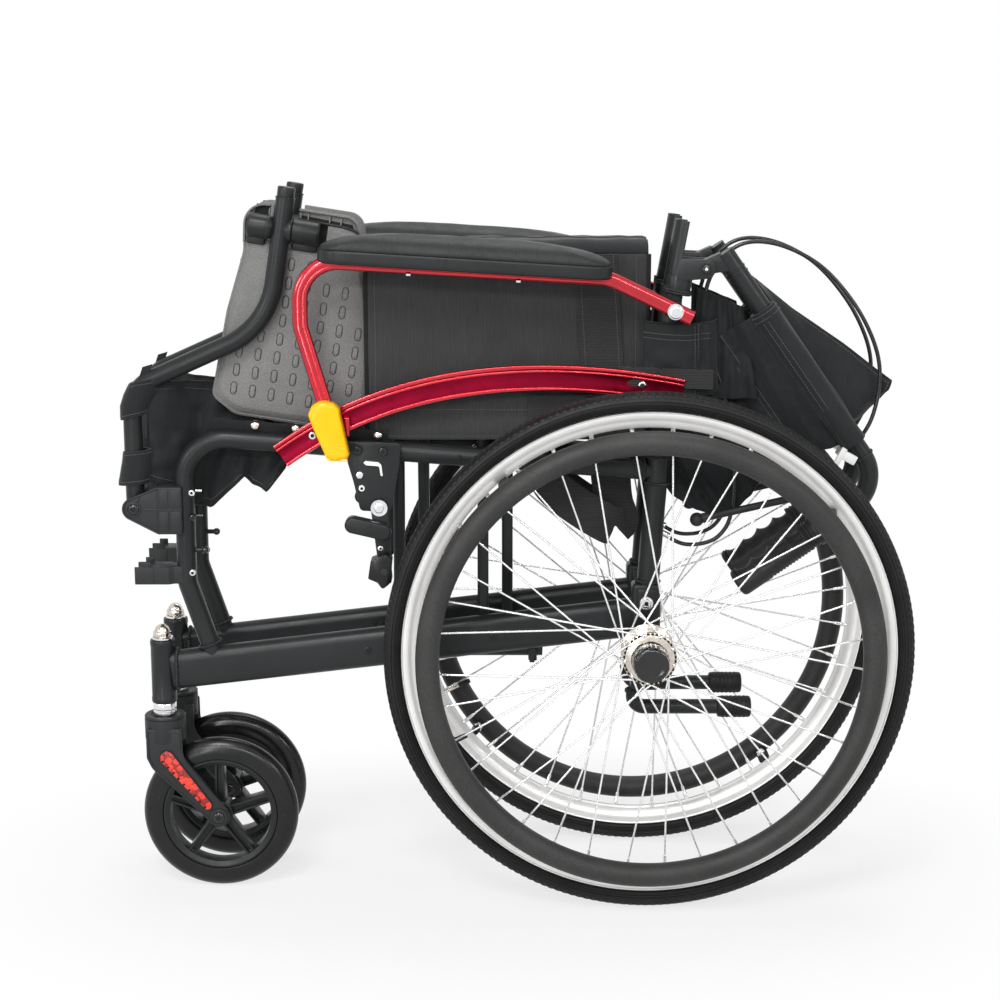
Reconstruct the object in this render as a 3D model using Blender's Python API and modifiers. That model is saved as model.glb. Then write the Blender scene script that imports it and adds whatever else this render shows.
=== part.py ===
"""Folding wheelchair, shown folded both ways.

The seat cross-brace is closed, so the two side frames stand close together. The back canes are
folded down behind the rear posts, and the leg rests are turned up over the front of the seat.
X runs to the rear, Y to the user's right and Z up. The left side is modelled, at -Y, and the
right side is its mirror image. Places in the X and Z directions are measured from the rear axle
and the floor.
"""

import math

import bmesh
import bpy
from mathutils import Matrix, Vector

# Places of the main stations
AXLE_X = 0.1397
FRAME_Y = 0.045
WHEEL_Y = 0.100
HANDRIM_Y = 0.137
ARM_Y = 0.076
PAD_Y = 0.088
GAP = 0.0003
CLAMP_GAP = 0.0006
RUNNING_GAP = 0.0004

# Rear wheels
WHEEL_D = 0.560
TYRE_WIDTH = 0.030
TYRE_DEPTH = 0.018
RIM_WIDTH = 0.024
RIM_DEPTH = 0.019
SPOKES = 36
SPOKE_R = 0.0010
SPOKE_SHIFT = 0.0013
SPOKE_CROSS = math.radians(60)
HUB_R = 0.015
HUB_FLANGE_R = 0.0285
HUB_FLANGE_T = 0.004
HUB_HALF = 0.022
HUB_STEPS = 10
HUB_CAP_R = 0.020
HUB_CAP_L = 0.025
AXLE_R = 0.006
HANDRIM_R = 0.2327
HANDRIM_TUBE_R = 0.0125
HANDRIM_TABS = 6
WHEEL_STEPS = 30

# Casters
CASTER_D = 0.170
CASTER_WIDTH = 0.024
CASTER_TYRE_DEPTH = 0.022
CASTER_SPOKES = 5
CASTER_STEPS = 20
CASTER_X = -0.464
SPINDLE_X = -0.5225
SPINDLE_R = 0.007
FORK_ARM_T = 0.006
FORK_CROWN_R = 0.0222
FORK_TOP_Z = 0.197
FORK_CROWN_H = 0.030
AXLE_BOSS_R = 0.0115
CASTER_BOLT_R = 0.004

# Side frame
TUBE_R = 0.0105
POST_R = 0.0120
BEAM_H = 0.043
BEAM_W = 0.022
BEAM_FRONT = (SPINDLE_X + 0.0105, 0.2466)
BEAM_REAR = (-0.004, 0.3068)
HEAD_R = 0.0132
HEAD_Z = (0.211, 0.281)
TOP_TUBE_REAR = (0.010, 0.4665)
TOP_TUBE_FRONT = (-0.4934, 0.5052)
UPRIGHT_KNEE = (-0.4934, 0.345)
UPRIGHT_FOOT = (-0.466, 0.262)
UPRIGHT_BEND = 0.045
POST_FOOT = (0.0014, 0.331)
POST_TOP = (0.0225, 0.665)
CASTING_HALF_X = 0.0155
CASTING_Z = (0.226, 0.345)

# Back cane and its hinge at the top of the rear post
CANE_R = 0.0105
CANE_PIVOT = (0.0565, 0.6819)
CANE_OFFSET = 0.0251
BACK_TILT = math.radians(10)
CANE_DROP = math.radians(54.6)
CANE_LENGTH = 0.301
CANE_BEND = 0.040
HANDLE_LENGTH = 0.187
CRADLE_R = 0.0137
CRADLE_S = (-0.030, 0.045)
CRADLE_FLOOR = -0.008
CRADLE_MOUTH = (-0.012, -0.0005)
EAR_T = 0.003
EAR_R = 0.010
HINGE_PIN_R = 0.003
GRIP_N = (0.084, 0.1885)
GRIP_R = 0.016
GRIP_GROOVES = 4
GRIP_STEPS = 10

# Attendant brake lever, in the cane's own directions
LEVER_DROP = 0.033
LEVER_N = 0.060
LEVER_R = 0.004
LEVER_END_DROP = 0.084
LEVER_END_N = 0.183
LEVER_BALL_R = 0.0075

# Cross-brace
PIVOT_Z = 0.265
PIVOT_INSET = 0.021
RAIL_Z_FOLDED = 0.696
RAIL_R = 0.010
RAIL_X = (-0.283, -0.050)
LOWER_TUBE_R = 0.008
LOWER_TUBE_X = (-0.300, -0.112)
BRACE_A_X = (-0.2665, -0.1755)
BRACE_B_X = (-0.2400, -0.1490)
BRACE_BAR_W = 0.018
BRACE_BAR_T = 0.012
BRACE_PIN_R = 0.004
BRACKET_T = 0.006
BRACKET_X = (-0.290, -0.122)

# Seat, back and calf strap, all cloth
SEAT_X = (-0.2975, -0.002)
SEAT_BASE_Z = 0.5025
SEAT_T = 0.010
SEAT_CROWN = 0.004
SEAT_TOP_REACH = 0.003
BACK_S = (0.0686, 0.2436)
BACK_REACH = 0.190
BACK_T = 0.008
BACK_Y = 0.014
SLEEVE_R = 0.0145
STRAP_X = (-0.534, -0.365)
STRAP_Z = (0.4545, 0.560)
STRAP_T = 0.005
STRAP_Y = 0.010
STRAP_LOOP_R = 0.014

# Armrest
ARM_PIVOT = (0.0239, 0.6399)
ARM_BAR_H = 0.016
ARM_BAR_T = 0.010
ARM_REAR = (0.0413, 0.6325)
ARM_KNEE = (-0.045, 0.674)
ARM_CORNER = (-0.3635, 0.6932)
ARM_HEEL = (-0.3635, 0.6247)
ARM_FOOT = (-0.3305, 0.512)
ARM_BEND = 0.040
ARM_BOLT_R = 0.004
PAD_X = (-0.344, -0.0425)
PAD_W = 0.050
PAD_TRAY_H = 0.0135
PAD_H = 0.0345
PAD_SINK = 0.0082
LATCH_PIVOT = (-0.3365, 0.531)

# Side guard, a ribbed arc
GUARD_H = 0.027
GUARD_T = 0.008
GUARD_FRONT = (-0.388, 0.486)
GUARD_MID = (-0.2000, 0.562)
GUARD_REAR = (0.034, 0.554)
GUARD_RIBS = 3

# Leg rest
LEG_PIVOT = (-0.5459, 0.4277)
LEG_R = 0.0095
LEG_START_Z = 0.4257
LEG_CORNER_LOW = (-0.5459, 0.5556)
LEG_CORNER_HIGH = (-0.4000, 0.6207)
LEG_TOP = (-0.3775, 0.7655)
LEG_BENDS = (0.038, 0.085)
LEG_PIN_R = 0.004
BRACKET_FRONT_X = -0.5575
BRACKET_SOLID_X = -0.5335
BRACKET_REAR_X = -0.478
LEG_BRACKET_Z = (0.400, 0.452)
LEG_BRACKET_HALF = 0.0175
CLIP_Z = (0.345, 0.388)
LEG_TURN = math.radians(176)

# Footplate
FOOT_HINGE_Z = 0.722
FOOT_HINGE_Y = 0.040
FOOT_PIN_R = 0.004
FOOT_BARREL_R = 0.0125
FOOT_BOSS_L = 0.0133
FOOT_BARREL_END = 0.037
FOOT_Y = 0.030
FOOT_T = 0.008
FOOT_RIM = 0.006
FOOT_LOW_Z = 0.5033

# Parking brake
BRAKE_PIVOT = (-0.2847, 0.431)
BRAKE_SHOE_R = 0.0110
BRAKE_SHOE_GAP = 0.0008
BRAKE_SHOE_ANGLE = math.radians(162.96)
BRAKE_PLATE_Y = (0.0600, 0.0640)
BRAKE_PLATE_X = (-0.322, -0.264)
BRAKE_PLATE_Z = (0.408, 0.496)

# Tipping lever behind the axle
TIP_R = 0.008
TIP_X = -0.012
TIP_Z = 0.205
TIP_END_X = 0.086
TIP_CAP_R = 0.0120
TIP_CAP_END_X = 0.116

# Brake cable
CABLE_R = 0.0022
CABLE_Y = 0.0262

# Worked-out values
AXLE_Z = WHEEL_D / 2
SHOE_REACH = WHEEL_D / 2 + BRAKE_SHOE_R + BRAKE_SHOE_GAP
BRAKE_SHOE = (
    SHOE_REACH * math.cos(BRAKE_SHOE_ANGLE),
    AXLE_Z + SHOE_REACH * math.sin(BRAKE_SHOE_ANGLE),
)
LEVER_PIVOT = (CANE_LENGTH - LEVER_DROP, LEVER_N)
LEVER_END = (CANE_LENGTH - LEVER_END_DROP, LEVER_END_N)
PIVOT_Y = FRAME_Y - PIVOT_INSET
LEG_LEAN = (LEG_TOP[0] - LEG_CORNER_HIGH[0]) / (LEG_TOP[1] - LEG_CORNER_HIGH[1])
FOOT_HINGE_X = LEG_TOP[0] + (FOOT_HINGE_Z - LEG_TOP[1]) * LEG_LEAN
FOOT_TILT = math.atan(LEG_LEAN)
BRACE_RISE = RAIL_Z_FOLDED - PIVOT_Z
BRACE_L = math.hypot(BRACE_RISE, 2 * PIVOT_Y)
CENTRE_Z = (PIVOT_Z + RAIL_Z_FOLDED) / 2
RIM_OUTER_R = WHEEL_D / 2 - TYRE_DEPTH - GAP
RIM_INNER_R = RIM_OUTER_R - RIM_DEPTH
WHEEL_OUT_Y = WHEEL_Y + HUB_HALF
WHEEL_IN_Y = WHEEL_Y - HUB_HALF
CASTER_Z = CASTER_D / 2
CANE_DIR = Vector((math.cos(CANE_DROP), -math.sin(CANE_DROP)))
CANE_NORMAL = Vector((-math.sin(CANE_DROP), -math.cos(CANE_DROP)))
UP_DIR = Vector((math.sin(BACK_TILT), math.cos(BACK_TILT)))
UP_NORMAL = Vector((math.cos(BACK_TILT), -math.sin(BACK_TILT)))
ALONG_Y = Matrix.Rotation(math.radians(90), 4, "X")


def clear_scene():
    """Empties the file that the script runs in."""
    for obj in list(bpy.data.objects):
        bpy.data.objects.remove(obj, do_unlink=True)


def at(x, y, z):
    """A point by its distance behind the rear axle, its side place and its height."""
    return Vector((AXLE_X + x, y, z))


def folded(s, n):
    """X and Z of a point of the folded cane, s along it and n square to it, towards the hinge."""
    end = Vector(CANE_PIVOT) - CANE_OFFSET * CANE_NORMAL
    return end + s * CANE_DIR + n * CANE_NORMAL


def upright(s, n):
    """The same point with the cane turned up into its cradle."""
    end = Vector(CANE_PIVOT) - CANE_OFFSET * UP_NORMAL
    return end + s * UP_DIR + n * UP_NORMAL


def material(name, colour, roughness, metallic=0.0):
    """A Principled material, made once for each name."""
    found = bpy.data.materials.get(name)
    if found:
        return found
    made = bpy.data.materials.new(name)
    made.use_nodes = True
    shader = made.node_tree.nodes["Principled BSDF"]
    shader.inputs["Base Color"].default_value = (*colour, 1.0)
    shader.inputs["Roughness"].default_value = roughness
    shader.inputs["Metallic"].default_value = metallic
    return made


def black_frame():
    return material("frame_black", (0.035, 0.038, 0.042), 0.38, 0.6)


def black_plastic():
    return material("plastic_black", (0.022, 0.022, 0.024), 0.5)


def rubber():
    return material("rubber_black", (0.018, 0.018, 0.018), 0.62)


def chrome():
    return material("chrome", (0.78, 0.78, 0.80), 0.18, 1.0)


def silver():
    return material("rim_silver", (0.80, 0.81, 0.83), 0.3, 1.0)


def red_anodised():
    return material("red_anodised", (0.42, 0.01, 0.03), 0.28, 0.8)


def cloth():
    return material("cloth_charcoal", (0.05, 0.052, 0.057), 0.9)


def baked(obj):
    """A plain mesh object of what this one looks like, in world space, welded and facing out."""
    graph = bpy.context.evaluated_depsgraph_get()
    mesh = bpy.data.meshes.new_from_object(obj.evaluated_get(graph))
    mesh.transform(obj.matrix_world)
    shape = bmesh.new()
    shape.from_mesh(mesh)
    bmesh.ops.remove_doubles(shape, verts=shape.verts, dist=0.000002)
    bmesh.ops.recalc_face_normals(shape, faces=shape.faces)
    shape.to_mesh(mesh)
    shape.free()
    name = obj.name
    bpy.data.objects.remove(obj, do_unlink=True)
    made = bpy.data.objects.new(name, mesh)
    bpy.context.scene.collection.objects.link(made)
    return made


def with_mesh(name, shape):
    """An object of a finished bmesh."""
    bmesh.ops.recalc_face_normals(shape, faces=shape.faces)
    mesh = bpy.data.meshes.new(name)
    shape.to_mesh(mesh)
    shape.free()
    obj = bpy.data.objects.new(name, mesh)
    bpy.context.scene.collection.objects.link(obj)
    return obj


def box(name, low, high, bevel=0.0, segments=2):
    """A block between two corners, with its edges rounded."""
    low, high = Vector(low), Vector(high)
    size, middle = high - low, (high + low) / 2
    shape = bmesh.new()
    place = Matrix.Translation(middle) @ Matrix.Diagonal((*(abs(v) for v in size), 1))
    bmesh.ops.create_cube(shape, size=1.0, matrix=place)
    obj = with_mesh(name, shape)
    if bevel:
        add_bevel(obj, bevel, segments)
        obj = baked(obj)
    return obj


def add_bevel(obj, width, segments=2, angle=35):
    """Rounds the edges sharper than the angle."""
    modifier = obj.modifiers.new("rounded_edges", "BEVEL")
    modifier.width = width
    modifier.segments = segments
    modifier.limit_method = "ANGLE"
    modifier.angle_limit = math.radians(angle)
    modifier.use_clamp_overlap = True


def rod(name, start, end, radius, sides=10, end_radius=None):
    """A round bar, or a cone, from one point to another."""
    start, end = Vector(start), Vector(end)
    along = end - start
    turn = along.to_track_quat("Z", "Y").to_matrix().to_4x4()
    shape = bmesh.new()
    bmesh.ops.create_cone(
        shape,
        cap_ends=True,
        segments=sides,
        radius1=radius,
        radius2=radius if end_radius is None else end_radius,
        depth=along.length,
        matrix=Matrix.Translation((start + end) / 2) @ turn,
    )
    return with_mesh(name, shape)


def turned(name, profile, steps, centre, turn):
    """A turned piece: (radius, height) points round the local Z axis, closed into a loop."""
    mesh = bpy.data.meshes.new(name)
    points = [(radius, 0.0, height) for radius, height in profile]
    links = [(i, (i + 1) % len(points)) for i in range(len(points))]
    on_axis = profile[0][0] == 0.0 and profile[-1][0] == 0.0
    mesh.from_pydata(points, links[:-1] if on_axis else links, [])
    obj = bpy.data.objects.new(name, mesh)
    bpy.context.scene.collection.objects.link(obj)
    screw = obj.modifiers.new("turn", "SCREW")
    screw.angle = math.tau
    screw.steps = steps
    screw.render_steps = steps
    screw.use_merge_vertices = True
    screw.merge_threshold = 0.00001
    obj.matrix_world = Matrix.Translation(centre) @ turn
    bpy.context.view_layer.update()
    return baked(obj)


def rounded(corners, radii, steps=4):
    """A path in X and Z with each inner corner replaced by an arc of the given radius."""
    path = [Vector(corners[0])]
    for index, radius in enumerate(radii, start=1):
        here = Vector(corners[index])
        back = (Vector(corners[index - 1]) - here).normalized()
        ahead = (Vector(corners[index + 1]) - here).normalized()
        half = back.angle(ahead) / 2
        reach = radius / math.tan(half)
        centre = here + (back + ahead).normalized() * (radius / math.sin(half))
        first = here + back * reach - centre
        sweep = (here + ahead * reach - centre).angle_signed(first)
        for step in range(steps + 1):
            turn = Matrix.Rotation(sweep * step / steps, 2)
            path.append(centre + turn @ first)
    path.append(Vector(corners[-1]))
    return path


def rounded_loop(corners, radii, steps=3):
    """A closed outline with each corner replaced by an arc; a radius of 0 keeps it sharp."""
    outline = []
    count = len(corners)
    for index, radius in enumerate(radii):
        trio = [corners[index - 1], corners[index], corners[(index + 1) % count]]
        outline += rounded(trio, [radius], steps)[1:-1] if radius else [Vector(trio[1])]
    return outline


def swept(name, path, y, section, end_scale=1.0):
    """A bar: a closed section of (across, outward) points carried along an X and Z path."""
    shape = bmesh.new()
    last = len(path) - 1
    rings = []
    for index, here in enumerate(path):
        back = (here - path[index - 1]).normalized() if index else None
        ahead = (path[index + 1] - here).normalized() if index < last else None
        along = ((back or ahead) + (ahead or back)).normalized()
        stretch = 1.0 / max(0.5, along.dot(ahead or back))
        side = Vector((-along.y, along.x)) * stretch
        scale = 1.0 + (end_scale - 1.0) * index / last
        ring = []
        for across, outward in section:
            place = here + side * across * scale
            ring.append(shape.verts.new(at(place.x, y - outward, place.y)))
        rings.append(ring)
    for first, second in zip(rings, rings[1:]):
        for i in range(len(section)):
            j = (i + 1) % len(section)
            shape.faces.new((first[i], first[j], second[j], second[i]))
    shape.faces.new(rings[0][::-1])
    shape.faces.new(rings[-1])
    return with_mesh(name, shape)


def tube(name, points, radius, resolution=2):
    """A bent tube: a curve with a round bevel and filled caps, turned into a welded mesh."""
    curve = bpy.data.curves.new(name, "CURVE")
    curve.dimensions = "3D"
    curve.bevel_depth = radius
    curve.bevel_resolution = resolution
    curve.use_fill_caps = True
    spline = curve.splines.new("POLY")
    spline.points.add(len(points) - 1)
    for point, place in zip(spline.points, points):
        point.co = (*place, 1.0)
    obj = bpy.data.objects.new(name, curve)
    bpy.context.scene.collection.objects.link(obj)
    return baked(obj)


def side_tube(name, path, y, radius, resolution=2):
    """A tube along an X and Z path in one upright plane."""
    return tube(name, [at(x, y, z) for x, z in path], radius, resolution)


def plate(name, outline, y0, y1):
    """A flat outline in X and Z, given thickness from y0 to y1."""
    shape = bmesh.new()
    near = [shape.verts.new(at(x, y0, z)) for x, z in outline]
    far = [shape.verts.new(at(x, y1, z)) for x, z in outline]
    for i in range(len(outline)):
        j = (i + 1) % len(outline)
        shape.faces.new((near[i], near[j], far[j], far[i]))
    shape.faces.new(near[::-1])
    shape.faces.new(far)
    return with_mesh(name, shape)


def softened(obj, width, segments=1):
    """The same solid with its sharper edges rounded."""
    add_bevel(obj, width, segments)
    return baked(obj)


def circle(centre, radius, start=0.0, sweep=math.tau, steps=12):
    """Points of an arc, or of a whole circle, in X and Z."""
    count = steps if abs(sweep) >= math.tau else steps + 1
    turn = [start + sweep * i / steps for i in range(count)]
    return [Vector(centre) + radius * Vector((math.cos(a), math.sin(a))) for a in turn]


def stadium(start, end, radius, end_radius=None, steps=6):
    """The outline of a bar with round ends, which may differ in radius."""
    start, end = Vector(start), Vector(end)
    angle = math.atan2(end.y - start.y, end.x - start.x)
    quarter = math.pi / 2
    first = circle(start, radius, angle + quarter, math.pi, steps)
    second = circle(end, end_radius or radius, angle - quarter, math.pi, steps)
    return first + second


def joined(name, solids):
    """One solid of several that overlap."""
    target = solids[0]
    target.name = name
    for other in solids[1:]:
        modifier = target.modifiers.new("join", "BOOLEAN")
        modifier.operation = "UNION"
        modifier.solver = "EXACT"
        modifier.object = other
    target = baked(target)
    for other in solids[1:]:
        bpy.data.objects.remove(other, do_unlink=True)
    target.name = name
    return target


def cut(target, cutters):
    """The solid with the cutters' space taken away."""
    name = target.name
    for other in cutters:
        modifier = target.modifiers.new("cut", "BOOLEAN")
        modifier.operation = "DIFFERENCE"
        modifier.solver = "EXACT"
        modifier.object = other
    target = baked(target)
    for other in cutters:
        bpy.data.objects.remove(other, do_unlink=True)
    target.name = name
    return target


def finish(obj, name, look, pivot, smooth=40):
    """Names the piece, gives it its material and puts its origin on its joint."""
    obj.name = name
    obj.data.name = name
    obj.data.materials.clear()
    obj.data.materials.append(look)
    obj.data.transform(Matrix.Translation(-Vector(pivot)))
    obj.location = pivot
    obj.data.shade_smooth()
    obj.data.set_sharp_from_angle(angle=math.radians(smooth))
    return obj


def mirror_image(obj, name):
    """The right-hand piece that matches a left-hand one."""
    mesh = obj.data.copy()
    mesh.transform(Matrix.Diagonal((1, -1, 1, 1)))
    mesh.flip_normals()
    made = bpy.data.objects.new(name, mesh)
    made.location = obj.location * Vector((1, -1, 1))
    bpy.context.scene.collection.objects.link(made)
    return made


def lower_beam(y):
    """The flat-oval extrusion from the head tube to the axle casting."""
    half_w = BEAM_W / 2
    straight = BEAM_H / 2 - half_w
    oval = circle((straight, 0), half_w, -math.pi / 2, math.pi, 4)
    oval += circle((-straight, 0), half_w, math.pi / 2, math.pi, 4)
    return swept("beam", [Vector(BEAM_FRONT), Vector(BEAM_REAR)], y, oval)


def cradle(y):
    """The open sleeve that the upright cane rests in, with the ears of its hinge."""

    def line(s0, s1, radius):
        low, high = upright(s0, 0), upright(s1, 0)
        return rod("sleeve", at(low.x, y, low.y), at(high.x, y, high.y), radius, 12)

    sleeve = line(CRADLE_S[0], CRADLE_S[1], CRADLE_R)
    bore = line(CRADLE_FLOOR, CRADLE_S[1] + 0.01, CANE_R + 0.0008)
    mouth_points = [
        upright(*CRADLE_MOUTH),
        upright(CRADLE_S[1] + 0.012, CRADLE_MOUTH[1]),
        upright(CRADLE_S[1] + 0.012, 0.03),
        upright(CRADLE_MOUTH[0], 0.03),
    ]
    mouth = plate("mouth", mouth_points, y - 0.02, y + 0.02)
    sleeve = cut(sleeve, [bore, mouth])
    inner = CANE_R + 0.0008
    solids = [sleeve]
    for side in (-1, 1):
        outline = [upright(-0.016, -0.003), upright(0.004, -0.003)]
        outline += circle(CANE_PIVOT, EAR_R, math.radians(70), -math.radians(150), 5)
        near = y + side * (inner + 0.0006)
        solids.append(plate("ear", outline, near, near + side * EAR_T))
    pin = rod(
        "pin",
        at(CANE_PIVOT[0], y - inner - EAR_T - 0.0020, CANE_PIVOT[1]),
        at(CANE_PIVOT[0], y + inner + EAR_T + 0.0020, CANE_PIVOT[1]),
        HINGE_PIN_R,
        8,
    )
    return solids + [pin]


def side_frame():
    """Tubes, beam, head tube, rear post, cradle, axle casting and brace brackets, welded."""
    y = -FRAME_Y
    corners = [TOP_TUBE_REAR, TOP_TUBE_FRONT, UPRIGHT_KNEE, UPRIGHT_FOOT]
    upper = side_tube("upper", rounded(corners, [UPRIGHT_BEND, 0.03]), y, TUBE_R)
    post = side_tube("post", [POST_FOOT, POST_TOP], y, POST_R)
    head = rod("head", at(SPINDLE_X, y, HEAD_Z[0]), at(SPINDLE_X, y, HEAD_Z[1]), HEAD_R, 12)
    casting = box(
        "casting",
        at(-CASTING_HALF_X, y - BEAM_W / 2 - 0.001, CASTING_Z[0]),
        at(CASTING_HALF_X, y + BEAM_W / 2 + 0.001, CASTING_Z[1]),
        0.005,
        1,
    )
    boss_y = y - BEAM_W / 2 - 0.006
    boss = rod("boss", at(0, y, AXLE_Z), at(0, boss_y, AXLE_Z), 0.014)
    axle = rod("axle", at(0, y, AXLE_Z), at(0, -WHEEL_OUT_Y + 0.006, AXLE_Z), AXLE_R)
    arm_boss_y = -ARM_Y + ARM_BAR_T / 2 + GAP
    arm_boss = rod("arm_boss", at(ARM_PIVOT[0], y, ARM_PIVOT[1]),
                   at(ARM_PIVOT[0], arm_boss_y, ARM_PIVOT[1]), 0.010)
    head_y = -ARM_Y - ARM_BAR_T / 2 - GAP
    arm_bolt = rod("arm_bolt", at(ARM_PIVOT[0], y, ARM_PIVOT[1]),
                   at(ARM_PIVOT[0], head_y - 0.001, ARM_PIVOT[1]), ARM_BOLT_R)
    arm_washer = rod("arm_washer", at(ARM_PIVOT[0], head_y, ARM_PIVOT[1]),
                     at(ARM_PIVOT[0], head_y - 0.003, ARM_PIVOT[1]), 0.0075, end_radius=0.006)
    solids = [lower_beam(y), upper, post, head, casting, boss, axle, arm_boss, arm_bolt,
              arm_washer, *cradle(y)]
    inner = y + BEAM_W / 2 - 0.003
    for x in BRACKET_X:
        bracket = box(
            "bracket",
            at(x - BRACKET_T / 2, inner, PIVOT_Z - 0.013),
            at(x + BRACKET_T / 2, -PIVOT_Y + 0.012, PIVOT_Z + 0.013),
        )
        solids.append(bracket)
    frame = joined("side_frame", solids)
    bores = [
        rod("bore", at(SPINDLE_X, y, HEAD_Z[0] - 0.02), at(SPINDLE_X, y, HEAD_Z[1] + 0.02),
            SPINDLE_R + RUNNING_GAP),
        rod("bore", at(BRACKET_X[0] - 0.02, -PIVOT_Y, PIVOT_Z),
            at(BRACKET_X[1] + 0.02, -PIVOT_Y, PIVOT_Z),
            (LOWER_TUBE_R + RUNNING_GAP) / math.cos(math.pi / 10)),
    ]
    return cut(frame, bores)


def side_guard():
    """The ribbed red arc above the tyre, standing off the top tube and the rear post."""
    start, middle, end = Vector(GUARD_FRONT), Vector(GUARD_MID), Vector(GUARD_REAR)
    bow = middle + (middle - (start + end) / 2)
    path = []
    for step in range(10):
        t = step / 9
        path.append((1 - t) ** 2 * start + 2 * t * (1 - t) * bow + t * t * end)
    outer = -FRAME_Y - POST_R - 0.001
    half = GUARD_H / 2
    pitch = GUARD_H / GUARD_RIBS
    section = [(-half, 0.0)]
    for rib in range(GUARD_RIBS):
        low = -half + rib * pitch
        section += [(low, GUARD_T - 0.002), (low + 0.0015, GUARD_T),
                    (low + pitch - 0.002, GUARD_T), (low + pitch - 0.0007, GUARD_T - 0.002)]
    section.append((half - 0.0007, 0.0))
    arc = swept("arc", path, outer, section)
    front = path[1]
    tube_y = -FRAME_Y - TUBE_R - GAP
    spacer = rod("spacer", at(front.x, tube_y, front.y), at(front.x, outer - 0.004, front.y),
                 0.007)
    rest = box("rest", at(ARM_FOOT[0] - 0.009, outer - GUARD_T + 0.004, ARM_FOOT[1] - 0.006),
               at(ARM_FOOT[0] + 0.009, -ARM_Y + ARM_BAR_T / 2 + GAP, ARM_FOOT[1] + 0.010))
    return joined("side_guard", [arc, spacer, rest])


def leg_bracket():
    """The plastic clamp on the front upright that the leg rest turns in."""
    y = -FRAME_Y
    x = TOP_TUBE_FRONT[0]
    body = box(
        "leg_bracket",
        at(BRACKET_FRONT_X, y - LEG_BRACKET_HALF, LEG_BRACKET_Z[0]),
        at(BRACKET_REAR_X, y + LEG_BRACKET_HALF, LEG_BRACKET_Z[1]),
        0.004,
        1,
    )
    slot = box(
        "slot",
        at(BRACKET_FRONT_X - 0.01, y - LEG_R - 0.002, LEG_BRACKET_Z[0] - 0.01),
        at(BRACKET_SOLID_X, y + LEG_R + 0.002, LEG_BRACKET_Z[1] + 0.01),
    )
    hole = rod("hole", at(x, y, LEG_BRACKET_Z[0] - 0.01), at(x, y, LEG_BRACKET_Z[1] + 0.01),
               TUBE_R + CLAMP_GAP, 12)
    cutters = [slot, hole]
    for index in range(3):
        low = LEG_BRACKET_Z[0] + 0.008 + index * 0.013
        cutters.append(box("rib_gap", at(-0.528, y - LEG_BRACKET_HALF - 0.01, low),
                           at(-0.509, y - LEG_BRACKET_HALF + 0.004, low + 0.009)))
    body = cut(body, cutters)
    pin = rod("pin", at(LEG_PIVOT[0], y - LEG_BRACKET_HALF - 0.003, LEG_PIVOT[1]),
              at(LEG_PIVOT[0], y + LEG_BRACKET_HALF + 0.001, LEG_PIVOT[1]), LEG_PIN_R, 8)
    return joined("leg_bracket", [body, pin])


def lower_clip():
    """The catch on the upright that holds the leg rest when it hangs down."""
    y = -FRAME_Y
    x = TOP_TUBE_FRONT[0]
    reach = LEG_PIVOT[1] - sum(CLIP_Z) / 2
    tilt = math.atan2(LEG_CORNER_LOW[0] - LEG_PIVOT[0], LEG_CORNER_LOW[1] - LEG_PIVOT[1])
    tube_x = LEG_PIVOT[0] - reach * math.tan(math.pi - LEG_TURN + tilt)
    body = box("lower_clip", at(tube_x - 0.006, y - 0.014, CLIP_Z[0]),
               at(x + 0.004, y + 0.014, CLIP_Z[1]), 0.003, 1)
    around = rod("around", at(x, y, CLIP_Z[0] - 0.01), at(x, y, CLIP_Z[1] + 0.01),
                 TUBE_R + CLAMP_GAP, 12)
    mouth = box("mouth", at(tube_x - 0.02, y - LEG_R - 0.0012, CLIP_Z[0] - 0.01),
                at(tube_x + LEG_R + 0.0035, y + LEG_R + 0.0012, CLIP_Z[1] + 0.01))
    return cut(body, [around, mouth])


def tipping_lever():
    """The foot lever behind the axle, with its rubber cap."""
    y = -FRAME_Y
    top = CASTING_Z[0] - GAP
    path = rounded([(TIP_X, top), (TIP_X, TIP_Z), (TIP_END_X, TIP_Z)], [0.012])
    bar = side_tube("bar", path, y, TIP_R)
    cap = rod("cap", at(TIP_END_X - 0.006, y, TIP_Z), at(TIP_CAP_END_X, y, TIP_Z), TIP_CAP_R)
    add_bevel(cap, 0.003, 1)
    return joined("tipping_lever", [bar, baked(cap)])


def brake_plate():
    """The slotted plate under the top tube that the parking brake is bolted to."""
    y0, y1 = (-v for v in BRAKE_PLATE_Y)
    x0, x1 = BRAKE_PLATE_X
    z0, z1 = BRAKE_PLATE_Z
    outline = rounded_loop(
        [(x0, z1), (x1, z1), (x1, z0 + 0.012), (x1 - 0.010, z0), (x0 + 0.014, z0)],
        [0.006, 0.005, 0.005, 0.005, 0.006], 2)
    body = plate("brake_plate", outline, y0, y1)
    slots = []
    for x, z in ((-0.302, 0.456), (-0.302, 0.436)):
        slots.append(plate("slot", stadium((x - 0.004, z + 0.001), (x + 0.004, z - 0.001),
                                           0.0022, steps=2), y0 + 0.01, y1 - 0.01))
    body = cut(body, slots)
    solids = [body]
    for x in (-0.309, -0.284):
        solids.append(rod("screw", at(x, -FRAME_Y - TUBE_R - GAP, 0.4865),
                          at(x, y1 - 0.003, 0.4865), 0.0045, 8))
    solids.append(rod("pivot", at(BRAKE_PIVOT[0], y0 + 0.001, BRAKE_PIVOT[1]),
                      at(BRAKE_PIVOT[0], y1 - 0.010, BRAKE_PIVOT[1]), 0.0035, 8))
    return joined("brake_plate", solids)


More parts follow.
